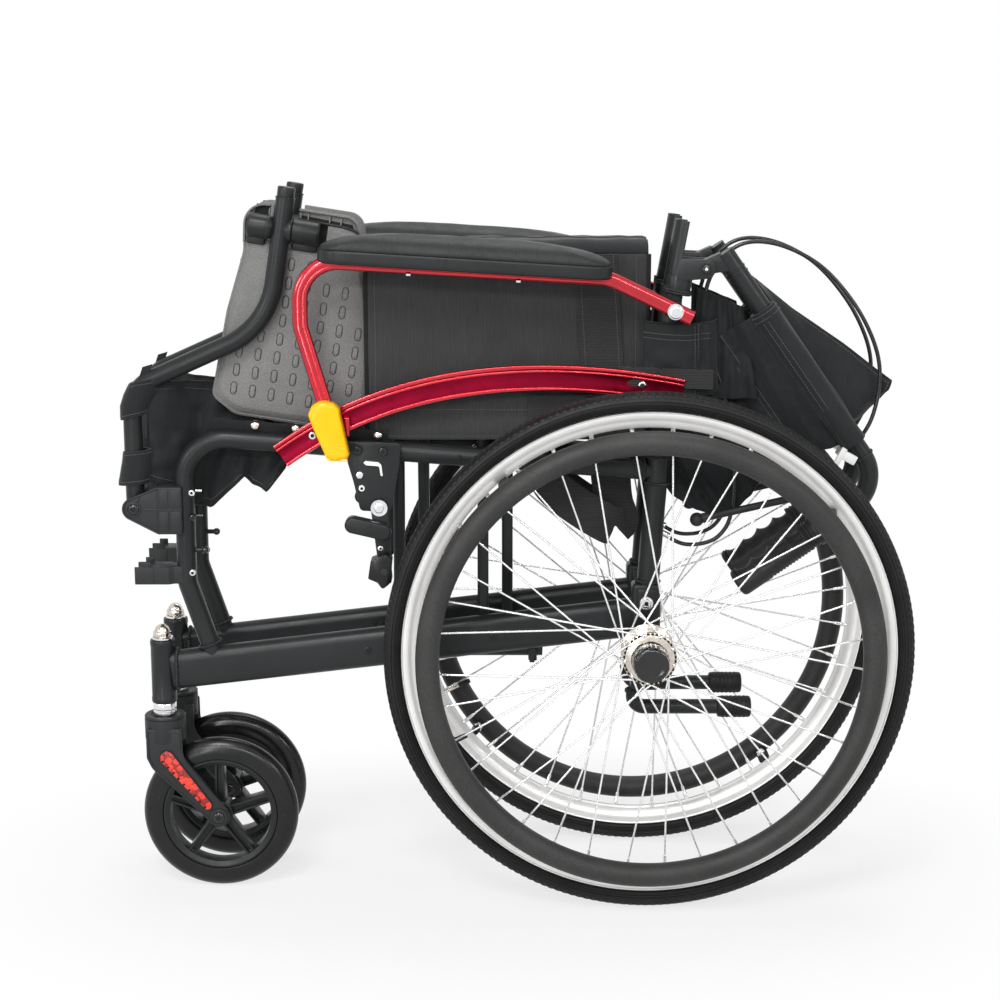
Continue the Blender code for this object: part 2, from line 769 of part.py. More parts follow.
def brake_lever():
    """The parking brake's lever, its finger pad and the round shoe that meets the tyre."""
    y0 = -BRAKE_PLATE_Y[1] - GAP
    arm = plate("arm", stadium(BRAKE_PIVOT, BRAKE_SHOE, 0.009, 0.007, 4), y0, y0 - 0.004)
    pad = plate("pad", stadium((-0.3135, 0.414), (-0.2815, 0.407), 0.008, steps=4),
                y0 - 0.002, y0 - 0.020)
    shoe = rod("shoe", at(BRAKE_SHOE[0], y0 - 0.001, BRAKE_SHOE[1]),
               at(BRAKE_SHOE[0], -WHEEL_Y - TYRE_WIDTH / 2, BRAKE_SHOE[1]), BRAKE_SHOE_R, 12)
    lever = joined("brake_lever", [arm, pad, shoe])
    hole = rod("hole", at(BRAKE_PIVOT[0], y0 + 0.01, BRAKE_PIVOT[1]),
               at(BRAKE_PIVOT[0], y0 - 0.03, BRAKE_PIVOT[1]), 0.0035 + RUNNING_GAP, 8)
    return cut(lever, [hole])


def caster_fork():
    """The fork: a round crown, two tapering arms and the bolt that the wheel turns on."""
    y = -FRAME_Y
    crown = rod("crown", at(SPINDLE_X, y, FORK_TOP_Z - FORK_CROWN_H),
                at(SPINDLE_X, y, FORK_TOP_Z), FORK_CROWN_R, 12)
    add_bevel(crown, 0.003, 1)
    solids = [baked(crown)]
    inside = CASTER_WIDTH / 2 + 0.003
    top = FORK_TOP_Z - 0.012
    low = FORK_TOP_Z - FORK_CROWN_H - 0.020
    outline = [Vector((SPINDLE_X - 0.018, top)), Vector((SPINDLE_X - 0.018, low + 0.004)),
               Vector((SPINDLE_X - 0.012, low - 0.006))]
    outline += circle((CASTER_X, CASTER_Z), AXLE_BOSS_R, math.radians(205),
                      math.radians(200), 6)
    outline += [Vector((SPINDLE_X + 0.019, low + 0.008)), Vector((SPINDLE_X + 0.019, top))]
    for side in (-1, 1):
        near = y + side * inside
        solids.append(plate("arm", outline, near, near + side * FORK_ARM_T))
        solids.append(rod("boss", at(CASTER_X, near + side * 0.001, CASTER_Z),
                          at(CASTER_X, near + side * (FORK_ARM_T + 0.003), CASTER_Z), 0.007))
    reach = inside + FORK_ARM_T / 2
    solids.append(rod("bolt", at(CASTER_X, y - reach, CASTER_Z),
                      at(CASTER_X, y + reach, CASTER_Z), CASTER_BOLT_R, 8))
    fork = joined("caster_fork", solids)
    socket = rod("socket", at(SPINDLE_X, y, FORK_TOP_Z - 0.015),
                 at(SPINDLE_X, y, FORK_TOP_Z + 0.01), SPINDLE_R + CLAMP_GAP)
    return cut(fork, [socket])


def fork_stem():
    """The chrome spindle through the head tube, with its spacer ring and acorn nut."""
    r = SPINDLE_R
    low, high = HEAD_Z
    base = FORK_TOP_Z + GAP
    profile = [
        (0.0, FORK_TOP_Z - 0.0145),
        (r, FORK_TOP_Z - 0.0145),
        (r, base),
        (0.0125, base),
        (0.0125, low - GAP),
        (r, low - GAP),
        (r, high + GAP),
        (0.0115, high + GAP),
        (0.0115, high + 0.003),
        (0.0095, high + 0.004),
        (0.0095, high + 0.009),
        (0.0075, high + 0.014),
        (0.0040, high + 0.0165),
        (0.0, high + 0.017),
    ]
    return turned("fork_stem", profile, 10, at(SPINDLE_X, -FRAME_Y, 0), Matrix())


def fork_reflector():
    """The tapered inlay on the outer fork arm."""
    outer = -FRAME_Y - CASTER_WIDTH / 2 - 0.003 - FORK_ARM_T - GAP
    start = (SPINDLE_X + 0.004, FORK_TOP_Z - FORK_CROWN_H - 0.014)
    end = (CASTER_X - 0.012, CASTER_Z + 0.014)
    return plate("fork_reflector", stadium(start, end, 0.0075, 0.0045), outer, outer - 0.0015)


def caster_rim():
    """Hub, five ribbed spokes and the rim of the front wheel."""
    y = -FRAME_Y
    outer = CASTER_D / 2 - CASTER_TYRE_DEPTH - GAP
    half = CASTER_WIDTH / 2
    centre = at(CASTER_X, y, CASTER_Z)
    ring = turned("ring", [(outer, half - 0.003), (outer, -half + 0.003),
                           (outer - 0.006, -half + 0.002), (outer - 0.008, 0.0),
                           (outer - 0.006, half - 0.002)], CASTER_STEPS, centre, ALONG_Y)
    hub = rod("hub", centre + Vector((0, -half, 0)), centre + Vector((0, half, 0)), 0.014, 12)
    solids = [ring, hub]
    for index in range(CASTER_SPOKES):
        angle = math.tau * (index + 0.25) / CASTER_SPOKES
        out = Vector((math.cos(angle), math.sin(angle)))
        end = Vector((CASTER_X, CASTER_Z)) + out * (outer - 0.004)
        start = Vector((CASTER_X, CASTER_Z)) + out * 0.008
        solids.append(plate("spoke", stadium(start, end, 0.0055, 0.004, 1), y - half + 0.004,
                            y + half - 0.004))
    wheel = joined("caster_rim", solids)
    bore = rod("bore", centre + Vector((0, -0.03, 0)), centre + Vector((0, 0.03, 0)),
               CASTER_BOLT_R + RUNNING_GAP, 8)
    return cut(wheel, [bore])


def caster_tyre():
    """The solid front tyre, with rounded shoulders."""
    r = CASTER_D / 2
    half = CASTER_WIDTH / 2
    inner = r - CASTER_TYRE_DEPTH
    profile = [(inner, -half), (r - 0.010, -half), (r - 0.003, -half + 0.004), (r, 0.0),
               (r - 0.003, half - 0.004), (r - 0.010, half), (inner, half)]
    return turned("caster_tyre", profile, CASTER_STEPS, at(CASTER_X, -FRAME_Y, CASTER_Z), ALONG_Y)


def rear_tyre():
    """The rear tyre, a rounded ring seated on the rim."""
    r = WHEEL_D / 2
    half = TYRE_WIDTH / 2
    inner = r - TYRE_DEPTH
    profile = [(inner, -half + 0.003), (r - 0.008, -half), (r, -half + 0.009),
               (r, half - 0.009), (r - 0.008, half), (inner, half - 0.003)]
    return turned("rear_tyre", profile, WHEEL_STEPS, at(0, -WHEEL_Y, AXLE_Z), ALONG_Y)


def rear_rim():
    """The box-section rear rim."""
    half = RIM_WIDTH / 2
    outer, inner = RIM_OUTER_R, RIM_INNER_R
    profile = [(outer, -half), (inner + 0.006, -half), (inner, -half + 0.006),
               (inner, half - 0.006), (inner + 0.006, half), (outer, half)]
    return turned("rear_rim", profile, WHEEL_STEPS, at(0, -WHEEL_Y, AXLE_Z), ALONG_Y)


def wheel_spokes():
    """The flanged hub and its crossed spokes, laced from both flanges to the rim."""
    centre = at(0, -WHEEL_Y, AXLE_Z)
    half, flange, thick = HUB_HALF, HUB_FLANGE_R, HUB_FLANGE_T
    bore = (AXLE_R + RUNNING_GAP) / math.cos(math.pi / HUB_STEPS)
    profile = [
        (bore, -half),
        (HUB_R - 0.002, -half),
        (flange, -half + 0.003),
        (flange, -half + 0.003 + thick),
        (HUB_R, -half + 0.008 + thick),
        (HUB_R, half - 0.008 - thick),
        (flange, half - 0.003 - thick),
        (flange, half - 0.003),
        (HUB_R - 0.002, half),
        (0.0, half),
    ]
    floor = half - 0.005
    hub = turned("hub", [(0.0, floor), (bore, floor), *profile], HUB_STEPS, centre,
                 ALONG_Y)
    solids = [hub]
    for index in range(SPOKES):
        side = 1 if index % 2 else -1
        lean = 1 if (index // 2) % 2 else -1
        rim_angle = math.tau * (index + 0.5) / SPOKES
        hub_angle = rim_angle + lean * SPOKE_CROSS
        flange_y = side * (half - 0.003 - thick / 2) + lean * SPOKE_SHIFT
        inner_r = flange - 0.0012
        start = centre + Vector((inner_r * math.cos(hub_angle), flange_y,
                                 inner_r * math.sin(hub_angle)))
        outer_r = RIM_INNER_R * math.cos(math.pi / WHEEL_STEPS) - CLAMP_GAP
        end = centre + Vector((outer_r * math.cos(rim_angle), side * 0.004 + lean * SPOKE_SHIFT,
                               outer_r * math.sin(rim_angle)))
        solids.append(rod("spoke", start, end, SPOKE_R, 3))
    return joined("wheel_spokes", solids)


def handrim():
    """The push ring, with the tabs that bolt it to the rim."""
    centre = at(0, -HANDRIM_Y, AXLE_Z)
    profile = [(HANDRIM_R + HANDRIM_TUBE_R * math.cos(a), HANDRIM_TUBE_R * math.sin(a))
               for a in (math.tau * (i + 0.5) / 6 for i in range(6))]
    solids = [turned("ring", profile, WHEEL_STEPS, centre, ALONG_Y)]
    face_y = -WHEEL_Y - RIM_WIDTH / 2 - GAP
    for index in range(HANDRIM_TABS):
        angle = math.tau * index / HANDRIM_TABS - math.radians(48)
        out = Vector((math.cos(angle), 0, math.sin(angle)))
        start = centre + out * (HANDRIM_R + 0.004)
        end = centre + out * (RIM_INNER_R + 0.010)
        end.y = face_y - 0.0033
        solids.append(rod("tab", start, end, 0.0055, 6))
    return joined("handrim", solids)


def hub_cap():
    """The black cap over the axle nut."""
    out = -WHEEL_OUT_Y - GAP
    cap = rod("hub_cap", at(0, out, AXLE_Z), at(0, out - HUB_CAP_L, AXLE_Z), HUB_CAP_R, 12,
              HUB_CAP_R - 0.002)
    add_bevel(cap, 0.002, 1)
    return baked(cap)


def armrest_bar():
    """The red bar: pivot at the rear, a run under the pad and a bend down to its foot."""
    corners = [ARM_REAR, ARM_KNEE, ARM_CORNER, ARM_HEEL, ARM_FOOT]
    path = rounded(corners, [0.05, ARM_BEND, 0.04], 4)
    tall, deep, chamfer = ARM_BAR_H / 2, ARM_BAR_T / 2, 0.0025
    section = [(-tall + chamfer, -deep), (-tall, -deep + chamfer), (-tall, deep - chamfer),
               (-tall + chamfer, deep), (tall - chamfer, deep), (tall, deep - chamfer),
               (tall, -deep + chamfer), (tall - chamfer, -deep)]
    bar = swept("armrest_bar", path, -ARM_Y, section)
    hole = rod("hole", at(ARM_PIVOT[0], -ARM_Y + 0.02, ARM_PIVOT[1]),
               at(ARM_PIVOT[0], -ARM_Y - 0.02, ARM_PIVOT[1]), ARM_BOLT_R + RUNNING_GAP)
    return cut(bar, [hole])


def arm_bar_top(x):
    """Height of the top of the armrest bar under the pad."""
    share = (x - ARM_KNEE[0]) / (ARM_CORNER[0] - ARM_KNEE[0])
    middle = ARM_KNEE[1] + share * (ARM_CORNER[1] - ARM_KNEE[1])
    return middle + ARM_BAR_H / 2


def arm_pad():
    """The padded top in its tray: a long dome with drawn-out ends, let down over the bar."""
    x0, x1 = PAD_X
    slope = math.atan2(arm_bar_top(x0) - arm_bar_top(x1), x1 - x0)
    half = PAD_W / 2
    length = (x1 - x0) / math.cos(slope)
    rise = PAD_H - PAD_TRAY_H
    rings = [(0.0, 0.003, 0.0), (0.003, 0.0, 0.0), (PAD_TRAY_H, 0.0, 0.0),
             (PAD_TRAY_H + rise * 0.3, 0.002, 0.004), (PAD_TRAY_H + rise * 0.62, 0.006, 0.016),
             (PAD_TRAY_H + rise * 0.87, 0.012, 0.036), (PAD_H, 0.019, 0.075)]
    shape = bmesh.new()
    loops = []
    for height, inset, draw in rings:
        radius = half - inset
        left = circle((-length / 2 + half + draw, 0), radius, math.pi / 2, math.pi, 6)
        right = circle((length / 2 - half - draw, 0), radius, -math.pi / 2, math.pi, 6)
        loops.append([shape.verts.new((p.x, p.y, height)) for p in left + right])
    for lower, upper in zip(loops, loops[1:]):
        count = len(lower)
        for i in range(count):
            j = (i + 1) % count
            shape.faces.new((lower[i], lower[j], upper[j], upper[i]))
    shape.faces.new(loops[0][::-1])
    shape.faces.new(loops[-1])
    middle = (x0 + x1) / 2
    place = Matrix.Translation(at(middle, -PAD_Y, arm_bar_top(middle) - PAD_SINK + GAP))
    turn = Matrix.Rotation(slope, 4, "Y")
    bmesh.ops.transform(shape, matrix=place @ turn, verts=shape.verts)
    pad = with_mesh("arm_pad", shape)
    reach = length / 2 + 0.01
    channel = box("channel", (-reach, PAD_Y - ARM_Y - ARM_BAR_T / 2 - GAP, -0.01),
                  (reach, PAD_Y - ARM_Y + ARM_BAR_T / 2 + GAP, PAD_SINK))
    channel.data.transform(place @ turn)
    return cut(pad, [channel])


def armrest_latch():
    """The yellow release lever at the foot of the armrest."""
    y0 = -ARM_Y - ARM_BAR_T / 2 - GAP
    top = (LATCH_PIVOT[0] - 0.002, LATCH_PIVOT[1] - 0.004)
    end = (LATCH_PIVOT[0] + 0.010, LATCH_PIVOT[1] - 0.046)
    return softened(plate("armrest_latch", stadium(top, end, 0.0165, 0.009, 6), y0,
                          y0 - 0.014), 0.003)


def hinge_spot(s, n):
    """X and Z of a point s along the footplate's hinge, to the rear, and n up its tube."""
    cos, sin = math.cos(FOOT_TILT), math.sin(FOOT_TILT)
    return Vector((FOOT_HINGE_X + s * cos + n * sin, FOOT_HINGE_Z - s * sin + n * cos))


def hinge_rod(name, start, end, radius, sides):
    """A rod on the footplate's hinge line, between two distances from the tube."""
    first, last = hinge_spot(start, 0), hinge_spot(end, 0)
    return rod(name, at(first.x, -FOOT_HINGE_Y, first.y), at(last.x, -FOOT_HINGE_Y, last.y),
               radius, sides)


def legrest_tube():
    """The hanger tube with its hinge eye and the boss that carries the footplate."""
    y = -FRAME_Y
    start = (LEG_PIVOT[0], LEG_START_Z)
    path = rounded([start, LEG_CORNER_LOW, LEG_CORNER_HIGH, LEG_TOP], LEG_BENDS)
    bar = side_tube("bar", path, y, LEG_R)
    eye = rod("eye", at(LEG_PIVOT[0], y - LEG_R - 0.001, LEG_PIVOT[1]),
              at(LEG_PIVOT[0], y + LEG_R + 0.001, LEG_PIVOT[1]), 0.0115, 12)
    boss = hinge_rod("boss", -FOOT_BOSS_L, FOOT_BOSS_L, FOOT_BARREL_R, 12)
    leg = joined("legrest_tube", [bar, eye, boss])
    holes = [
        rod("hole", at(LEG_PIVOT[0], y - 0.03, LEG_PIVOT[1]),
            at(LEG_PIVOT[0], y + 0.03, LEG_PIVOT[1]), LEG_PIN_R + RUNNING_GAP, 10),
        hinge_rod("hole", -FOOT_BOSS_L - 0.01, FOOT_BOSS_L + 0.01, FOOT_PIN_R + RUNNING_GAP, 10),
    ]
    return cut(leg, holes)


def footplate():
    """The moulded footplate, with a raised rim, a well for its studs and its hinge barrels."""
    low = FOOT_LOW_Z
    outline = rounded_loop(
        [(-0.4240, 0.7515), (-0.4265, 0.698), (-0.4455, 0.636), (-0.4640, low + 0.0417),
         (-0.4400, low + 0.0214), (-0.3000, low), (-0.2842, 0.610), (-0.3045, 0.7330)],
        [0.022, 0.03, 0.05, 0.012, 0.025, 0.02, 0.02, 0.018], 2)
    y_in = -FOOT_Y + FOOT_T / 2
    y_out = y_in - FOOT_T
    body = plate("body", outline, y_in, y_out)
    middle = Vector((-0.372, 0.625))
    inner_line = [middle + (p - middle) * (1 - FOOT_RIM / 0.08) for p in outline]
    well = plate("well", inner_line, y_out - 0.01, y_out + 0.0015)
    side = FOOT_BOSS_L + 0.0017
    window = plate("window", [hinge_spot(-side, -0.0195), hinge_spot(side, -0.0195),
                              hinge_spot(side, 0.05), hinge_spot(-side, 0.05)],
                   y_out - 0.02, y_in + 0.02)
    solids = [cut(body, [well, window])]
    for way in (-1, 1):
        solids.append(hinge_rod("barrel", way * (FOOT_BOSS_L + RUNNING_GAP),
                                way * FOOT_BARREL_END, FOOT_BARREL_R, 12))
    solids.append(hinge_rod("pin", -FOOT_BOSS_L - 0.006, FOOT_BOSS_L + 0.006, FOOT_PIN_R, 8))
    return joined("footplate", solids)


def back_cane():
    """The cane: hinge block, straight run, and the bend into the push handle."""
    y = -FRAME_Y
    corners = [folded(-0.002, 0), folded(CANE_LENGTH, 0), folded(CANE_LENGTH, HANDLE_LENGTH)]
    bar = side_tube("bar", rounded(corners, [CANE_BEND], 5), y, CANE_R)
    block_line = [folded(0.018, 0.003), folded(-0.004, 0.003)]
    block_line += circle(CANE_PIVOT, 0.0085, math.radians(105.4), math.radians(215), 5)
    block = plate("block", block_line, y - 0.0085, y + 0.0085)
    clamp_a = folded(CANE_LENGTH + 0.013, LEVER_PIVOT[1] - 0.010)
    clamp_b = folded(CANE_LENGTH + 0.013, LEVER_PIVOT[1] + 0.010)
    clamp_c = folded(LEVER_PIVOT[0] - 0.006, LEVER_PIVOT[1] + 0.007)
    clamp_d = folded(LEVER_PIVOT[0] - 0.006, LEVER_PIVOT[1] - 0.007)
    clamp = softened(plate("clamp", [clamp_a, clamp_b, clamp_c, clamp_d], y - 0.013, y + 0.013),
                     0.002)
    cane = joined("back_cane", [bar, block, clamp])
    pivot = folded(*LEVER_PIVOT)
    slot_line = [folded(LEVER_PIVOT[0] + 0.012, LEVER_PIVOT[1] - 0.03),
                 folded(LEVER_PIVOT[0] + 0.012, LEVER_PIVOT[1] + 0.03),
                 folded(LEVER_PIVOT[0] - 0.03, LEVER_PIVOT[1] + 0.03),
                 folded(LEVER_PIVOT[0] - 0.03, LEVER_PIVOT[1] - 0.03)]
    cutters = [
        plate("slot", slot_line, y - 0.0065, y + 0.0065),
        rod("hole", at(CANE_PIVOT[0], y - 0.02, CANE_PIVOT[1]),
            at(CANE_PIVOT[0], y + 0.02, CANE_PIVOT[1]), HINGE_PIN_R + RUNNING_GAP, 10),
    ]
    cane = cut(cane, cutters)
    pin = rod("pin", at(pivot.x, y - 0.012, pivot.y), at(pivot.x, y + 0.012, pivot.y),
              0.0025, 8)
    return joined("back_cane", [cane, pin])


def push_grip():
    """The moulded grip on the push handle, waisted between its finger ridges."""
    y = -FRAME_Y
    start, end = folded(CANE_LENGTH, GRIP_N[0]), folded(CANE_LENGTH, GRIP_N[1])
    length = (end - start).length
    bore = (CANE_R + GAP) / math.cos(math.pi / GRIP_STEPS)
    depth = HANDLE_LENGTH - GRIP_N[0]
    outer = [(GRIP_R + 0.0015, 0.0), (GRIP_R + 0.0015, 0.004)]
    for index in range(GRIP_GROOVES):
        base = 0.006 + index * 0.019
        outer += [(GRIP_R, base), (GRIP_R - 0.0022, base + 0.009)]
    outer += [(GRIP_R, length - 0.012), (GRIP_R - 0.004, length), (0.0, length)]
    profile = [(0.0, depth + GAP), (bore, depth + GAP), (bore, 0.0), *outer]
    along = (at(end.x, y, end.y) - at(start.x, y, start.y)).normalized()
    turn = along.to_track_quat("Z", "Y").to_matrix().to_4x4()
    return turned("push_grip", profile, GRIP_STEPS, at(start.x, y, start.y), turn)


def attendant_lever():
    """The thin brake lever under the push handle, with a ball at its end."""
    y = -FRAME_Y
    pivot, end = folded(*LEVER_PIVOT), folded(*LEVER_END)
    bar = rod("bar", at(pivot.x, y, pivot.y), at(end.x, y, end.y), LEVER_R, 10)
    eye = rod("eye", at(pivot.x, y - 0.0055, pivot.y), at(pivot.x, y + 0.0055, pivot.y),
              0.0065)
    shape = bmesh.new()
    bmesh.ops.create_uvsphere(shape, u_segments=8, v_segments=5, radius=LEVER_BALL_R,
                              matrix=Matrix.Translation(at(end.x, y, end.y)))
    lever = joined("attendant_lever", [bar, eye, with_mesh("ball", shape)])
    hole = rod("hole", at(pivot.x, y - 0.02, pivot.y), at(pivot.x, y + 0.02, pivot.y),
               0.0025 + RUNNING_GAP, 8)
    return cut(lever, [hole])


def soft_panel(name, spots, thickness, crown):
    """A padded panel from a grid of points: thickened, then swollen between its edges."""
    shape = bmesh.new()
    rows = [[shape.verts.new(p) for p in line] for line in spots]
    for lower, upper in zip(rows, rows[1:]):
        for i in range(len(lower) - 1):
            shape.faces.new((lower[i], lower[i + 1], upper[i + 1], upper[i]))
    obj = with_mesh(name, shape)
    wall = obj.modifiers.new("padding", "SOLIDIFY")
    wall.thickness = thickness
    wall.offset = 0.0
    swell = obj.vertex_groups.new(name="swell")
    count_u, count_v = len(spots), len(spots[0])
    for i in range(count_u):
        for j in range(count_v):
            u = 2 * i / (count_u - 1) - 1
            v = 2 * j / (count_v - 1) - 1
            weight = (1 - abs(u) ** 3) * (1 - abs(v) ** 3)
            swell.add([i * count_v + j], weight, "REPLACE")
    wall.vertex_group = "swell"
    wall.thickness_vertex_group = thickness / (thickness + crown)
    wall.thickness = thickness + crown
    return baked(obj)


def seat_half():
    """Half of the seat: it stands on the top tube and turns over the raised rail."""
    turn_r = RAIL_R + SEAT_T / 2 + 0.001
    z0, z1 = SEAT_BASE_Z, RAIL_Z_FOLDED
    section = [(-PIVOT_Y - turn_r, z0 + (z1 - z0) * i / 5) for i in range(6)]
    for step in range(1, 4):
        angle = math.pi / 2 * step / 3
        section.append((-PIVOT_Y - turn_r * math.cos(angle), z1 + turn_r * math.sin(angle)))
    section.append((-SEAT_TOP_REACH, z1 + turn_r))
    spots = []
    for i in range(8):
        x = SEAT_X[0] + (SEAT_X[1] - SEAT_X[0]) * i / 7
        spots.append([at(x, y, z) for y, z in section])
    return soft_panel("seat_half", spots, SEAT_T - SEAT_CROWN, SEAT_CROWN)


def back_half():
    """Half of the back: a sleeve on the cane and the cloth that folds in beside it."""
    y = -FRAME_Y
    low, high = folded(BACK_S[0], 0), folded(BACK_S[1], 0)
    sleeve = rod("sleeve", at(low.x, y, low.y), at(high.x, y, high.y), SLEEVE_R, 12)
    spots = []
    for i in range(7):
        s = BACK_S[0] + 0.002 + (BACK_S[1] - BACK_S[0] - 0.004) * i / 6
        line = []
        for j in range(8):
            n = BACK_REACH * j / 7
            side = -FRAME_Y + (FRAME_Y - BACK_Y) * min(1.0, j / 2)
            place = folded(s, n)
            line.append(at(place.x, side, place.y))
        spots.append(line)
    cloth_panel = soft_panel("panel", spots, BACK_T * 0.7, BACK_T * 0.3)
    back = joined("back_half", [sleeve, cloth_panel])
    bore = rod("bore", at(*_along(low, high, -0.02, y)), at(*_along(high, low, -0.02, y)),
               CANE_R + CLAMP_GAP, 12)
    return cut(back, [bore])


def _along(start, end, distance, y):
    """A point on the line from start to end, the distance past start."""
    place = start + (end - start).normalized() * distance
    return place.x, y, place.y


def calf_half():
    """Half of the calf strap: a loop round the hanger tube and the band behind it."""
    y = -FRAME_Y
    low, high = Vector(LEG_PIVOT), Vector(LEG_CORNER_LOW)
    slope = (high.x - low.x) / (high.y - low.y)
    z0, z1 = STRAP_Z[0], STRAP_Z[1]
    x0, x1 = low.x + (z0 - low.y) * slope, low.x + (z1 - 0.03 - low.y) * slope
    loop = rod("loop", at(x0, y, z0), at(x1, y, z1 - 0.03), STRAP_LOOP_R)
    spots = []
    for i in range(5):
        z = z0 + 0.002 + (z1 - z0 - 0.034) * i / 4
        line = []
        for j in range(8):
            place = low.x + (z - low.y) * slope
            place += (STRAP_X[1] - place) * j / 7
            side = -FRAME_Y + (FRAME_Y - STRAP_Y) * min(1.0, j / 2)
            line.append(at(place, side, z + 0.028 * max(0.0, j / 2 - 1) / 2.5))
        spots.append(line)
    panel = soft_panel("panel", spots, STRAP_T * 0.7, STRAP_T * 0.3)
    strap = joined("calf_half", [loop, panel])
    bore = rod("bore", at(x0 - 0.02 * slope, y, z0 - 0.02), at(x1 + 0.02 * slope, y, z1 - 0.01),
               LEG_R + 0.0008)
    return cut(strap, [bore])


def brace(name, x_bars, side, with_pins):
    """One half of the cross-brace: lower tube, two bars and the seat rail on the other side."""
    low_y, high_y = side * PIVOT_Y, -side * PIVOT_Y
    solids = [
        rod("rail", at(RAIL_X[0], high_y, RAIL_Z_FOLDED), at(RAIL_X[1], high_y, RAIL_Z_FOLDED),
            RAIL_R),
        rod("lower", at(LOWER_TUBE_X[0], low_y, PIVOT_Z), at(LOWER_TUBE_X[1], low_y, PIVOT_Z),
            LOWER_TUBE_R),
    ]
    lean = math.atan2(high_y - low_y, BRACE_RISE)
    for x in x_bars:
        shape = bmesh.new()
        size = Matrix.Diagonal((BRACE_BAR_T, BRACE_BAR_W, BRACE_L, 1))
        place = Matrix.Translation(at(x, 0, CENTRE_Z)) @ Matrix.Rotation(-lean, 4, "X")
        bmesh.ops.create_cube(shape, size=1.0, matrix=place @ size)
        bar = with_mesh("bar", shape)
        add_bevel(bar, 0.003, 1)
        solids.append(baked(bar))
    reach = BRACE_B_X[0] - BRACE_A_X[0] + BRACE_BAR_T / 2 + 0.004
    if with_pins:
        for x in x_bars:
            solids.append(rod("pin", at(x - BRACE_BAR_T / 2 - 0.004, 0, CENTRE_Z),
                              at(x + reach, 0, CENTRE_Z), BRACE_PIN_R, 10))
        return joined(name, solids)
    made = joined(name, solids)
    holes = [rod("hole", at(x - 0.01, 0, CENTRE_Z), at(x + 0.01, 0, CENTRE_Z),
                 BRACE_PIN_R + RUNNING_GAP, 10) for x in x_bars]
    return cut(made, holes)


def smooth_route(corners, steps):
    """A smooth curve through hand-chosen points."""
    points = [Vector(c) for c in corners]
    ends = [2 * points[0] - points[1], *points, 2 * points[-1] - points[-2]]
    route = []
    for i in range(1, len(ends) - 2):
        p0, p1, p2, p3 = ends[i - 1:i + 3]
        for step in range(steps):
            t = step / steps
            a = 2 * p1 + (p2 - p0) * t
            b = (2 * p0 - 5 * p1 + 4 * p2 - p3) * t * t
            c = (3 * p1 - p0 - 3 * p2 + p3) * t ** 3
            route.append((a + b + c) / 2)
    route.append(points[-1])
    return route


def brake_cable():
    """The outer cable from the rear post, up past the cane hinge and round to its clip."""
    places = [(0.012, 0.398), (0.044, 0.382), (0.079, 0.391), (0.094, 0.430), (0.088, 0.520),
              (0.062, 0.610), (0.062, 0.664), (0.090, 0.702), (0.130, 0.706), (0.178, 0.684),
              (0.216, 0.644), (0.240, 0.600), (0.247, 0.562), (0.240, 0.520), (0.222, 0.488)]
    route = smooth_route(places, 2)
    return tube("brake_cable", [at(p.x, -CABLE_Y, p.y) for p in route], CABLE_R, 0)


def left_and_right(part, name, look, pivot):
    """Finishes the left piece and makes its mirror image on the right."""
    left = finish(part, "left_" + name, look, pivot)
    return left, mirror_image(left, "right_" + name)


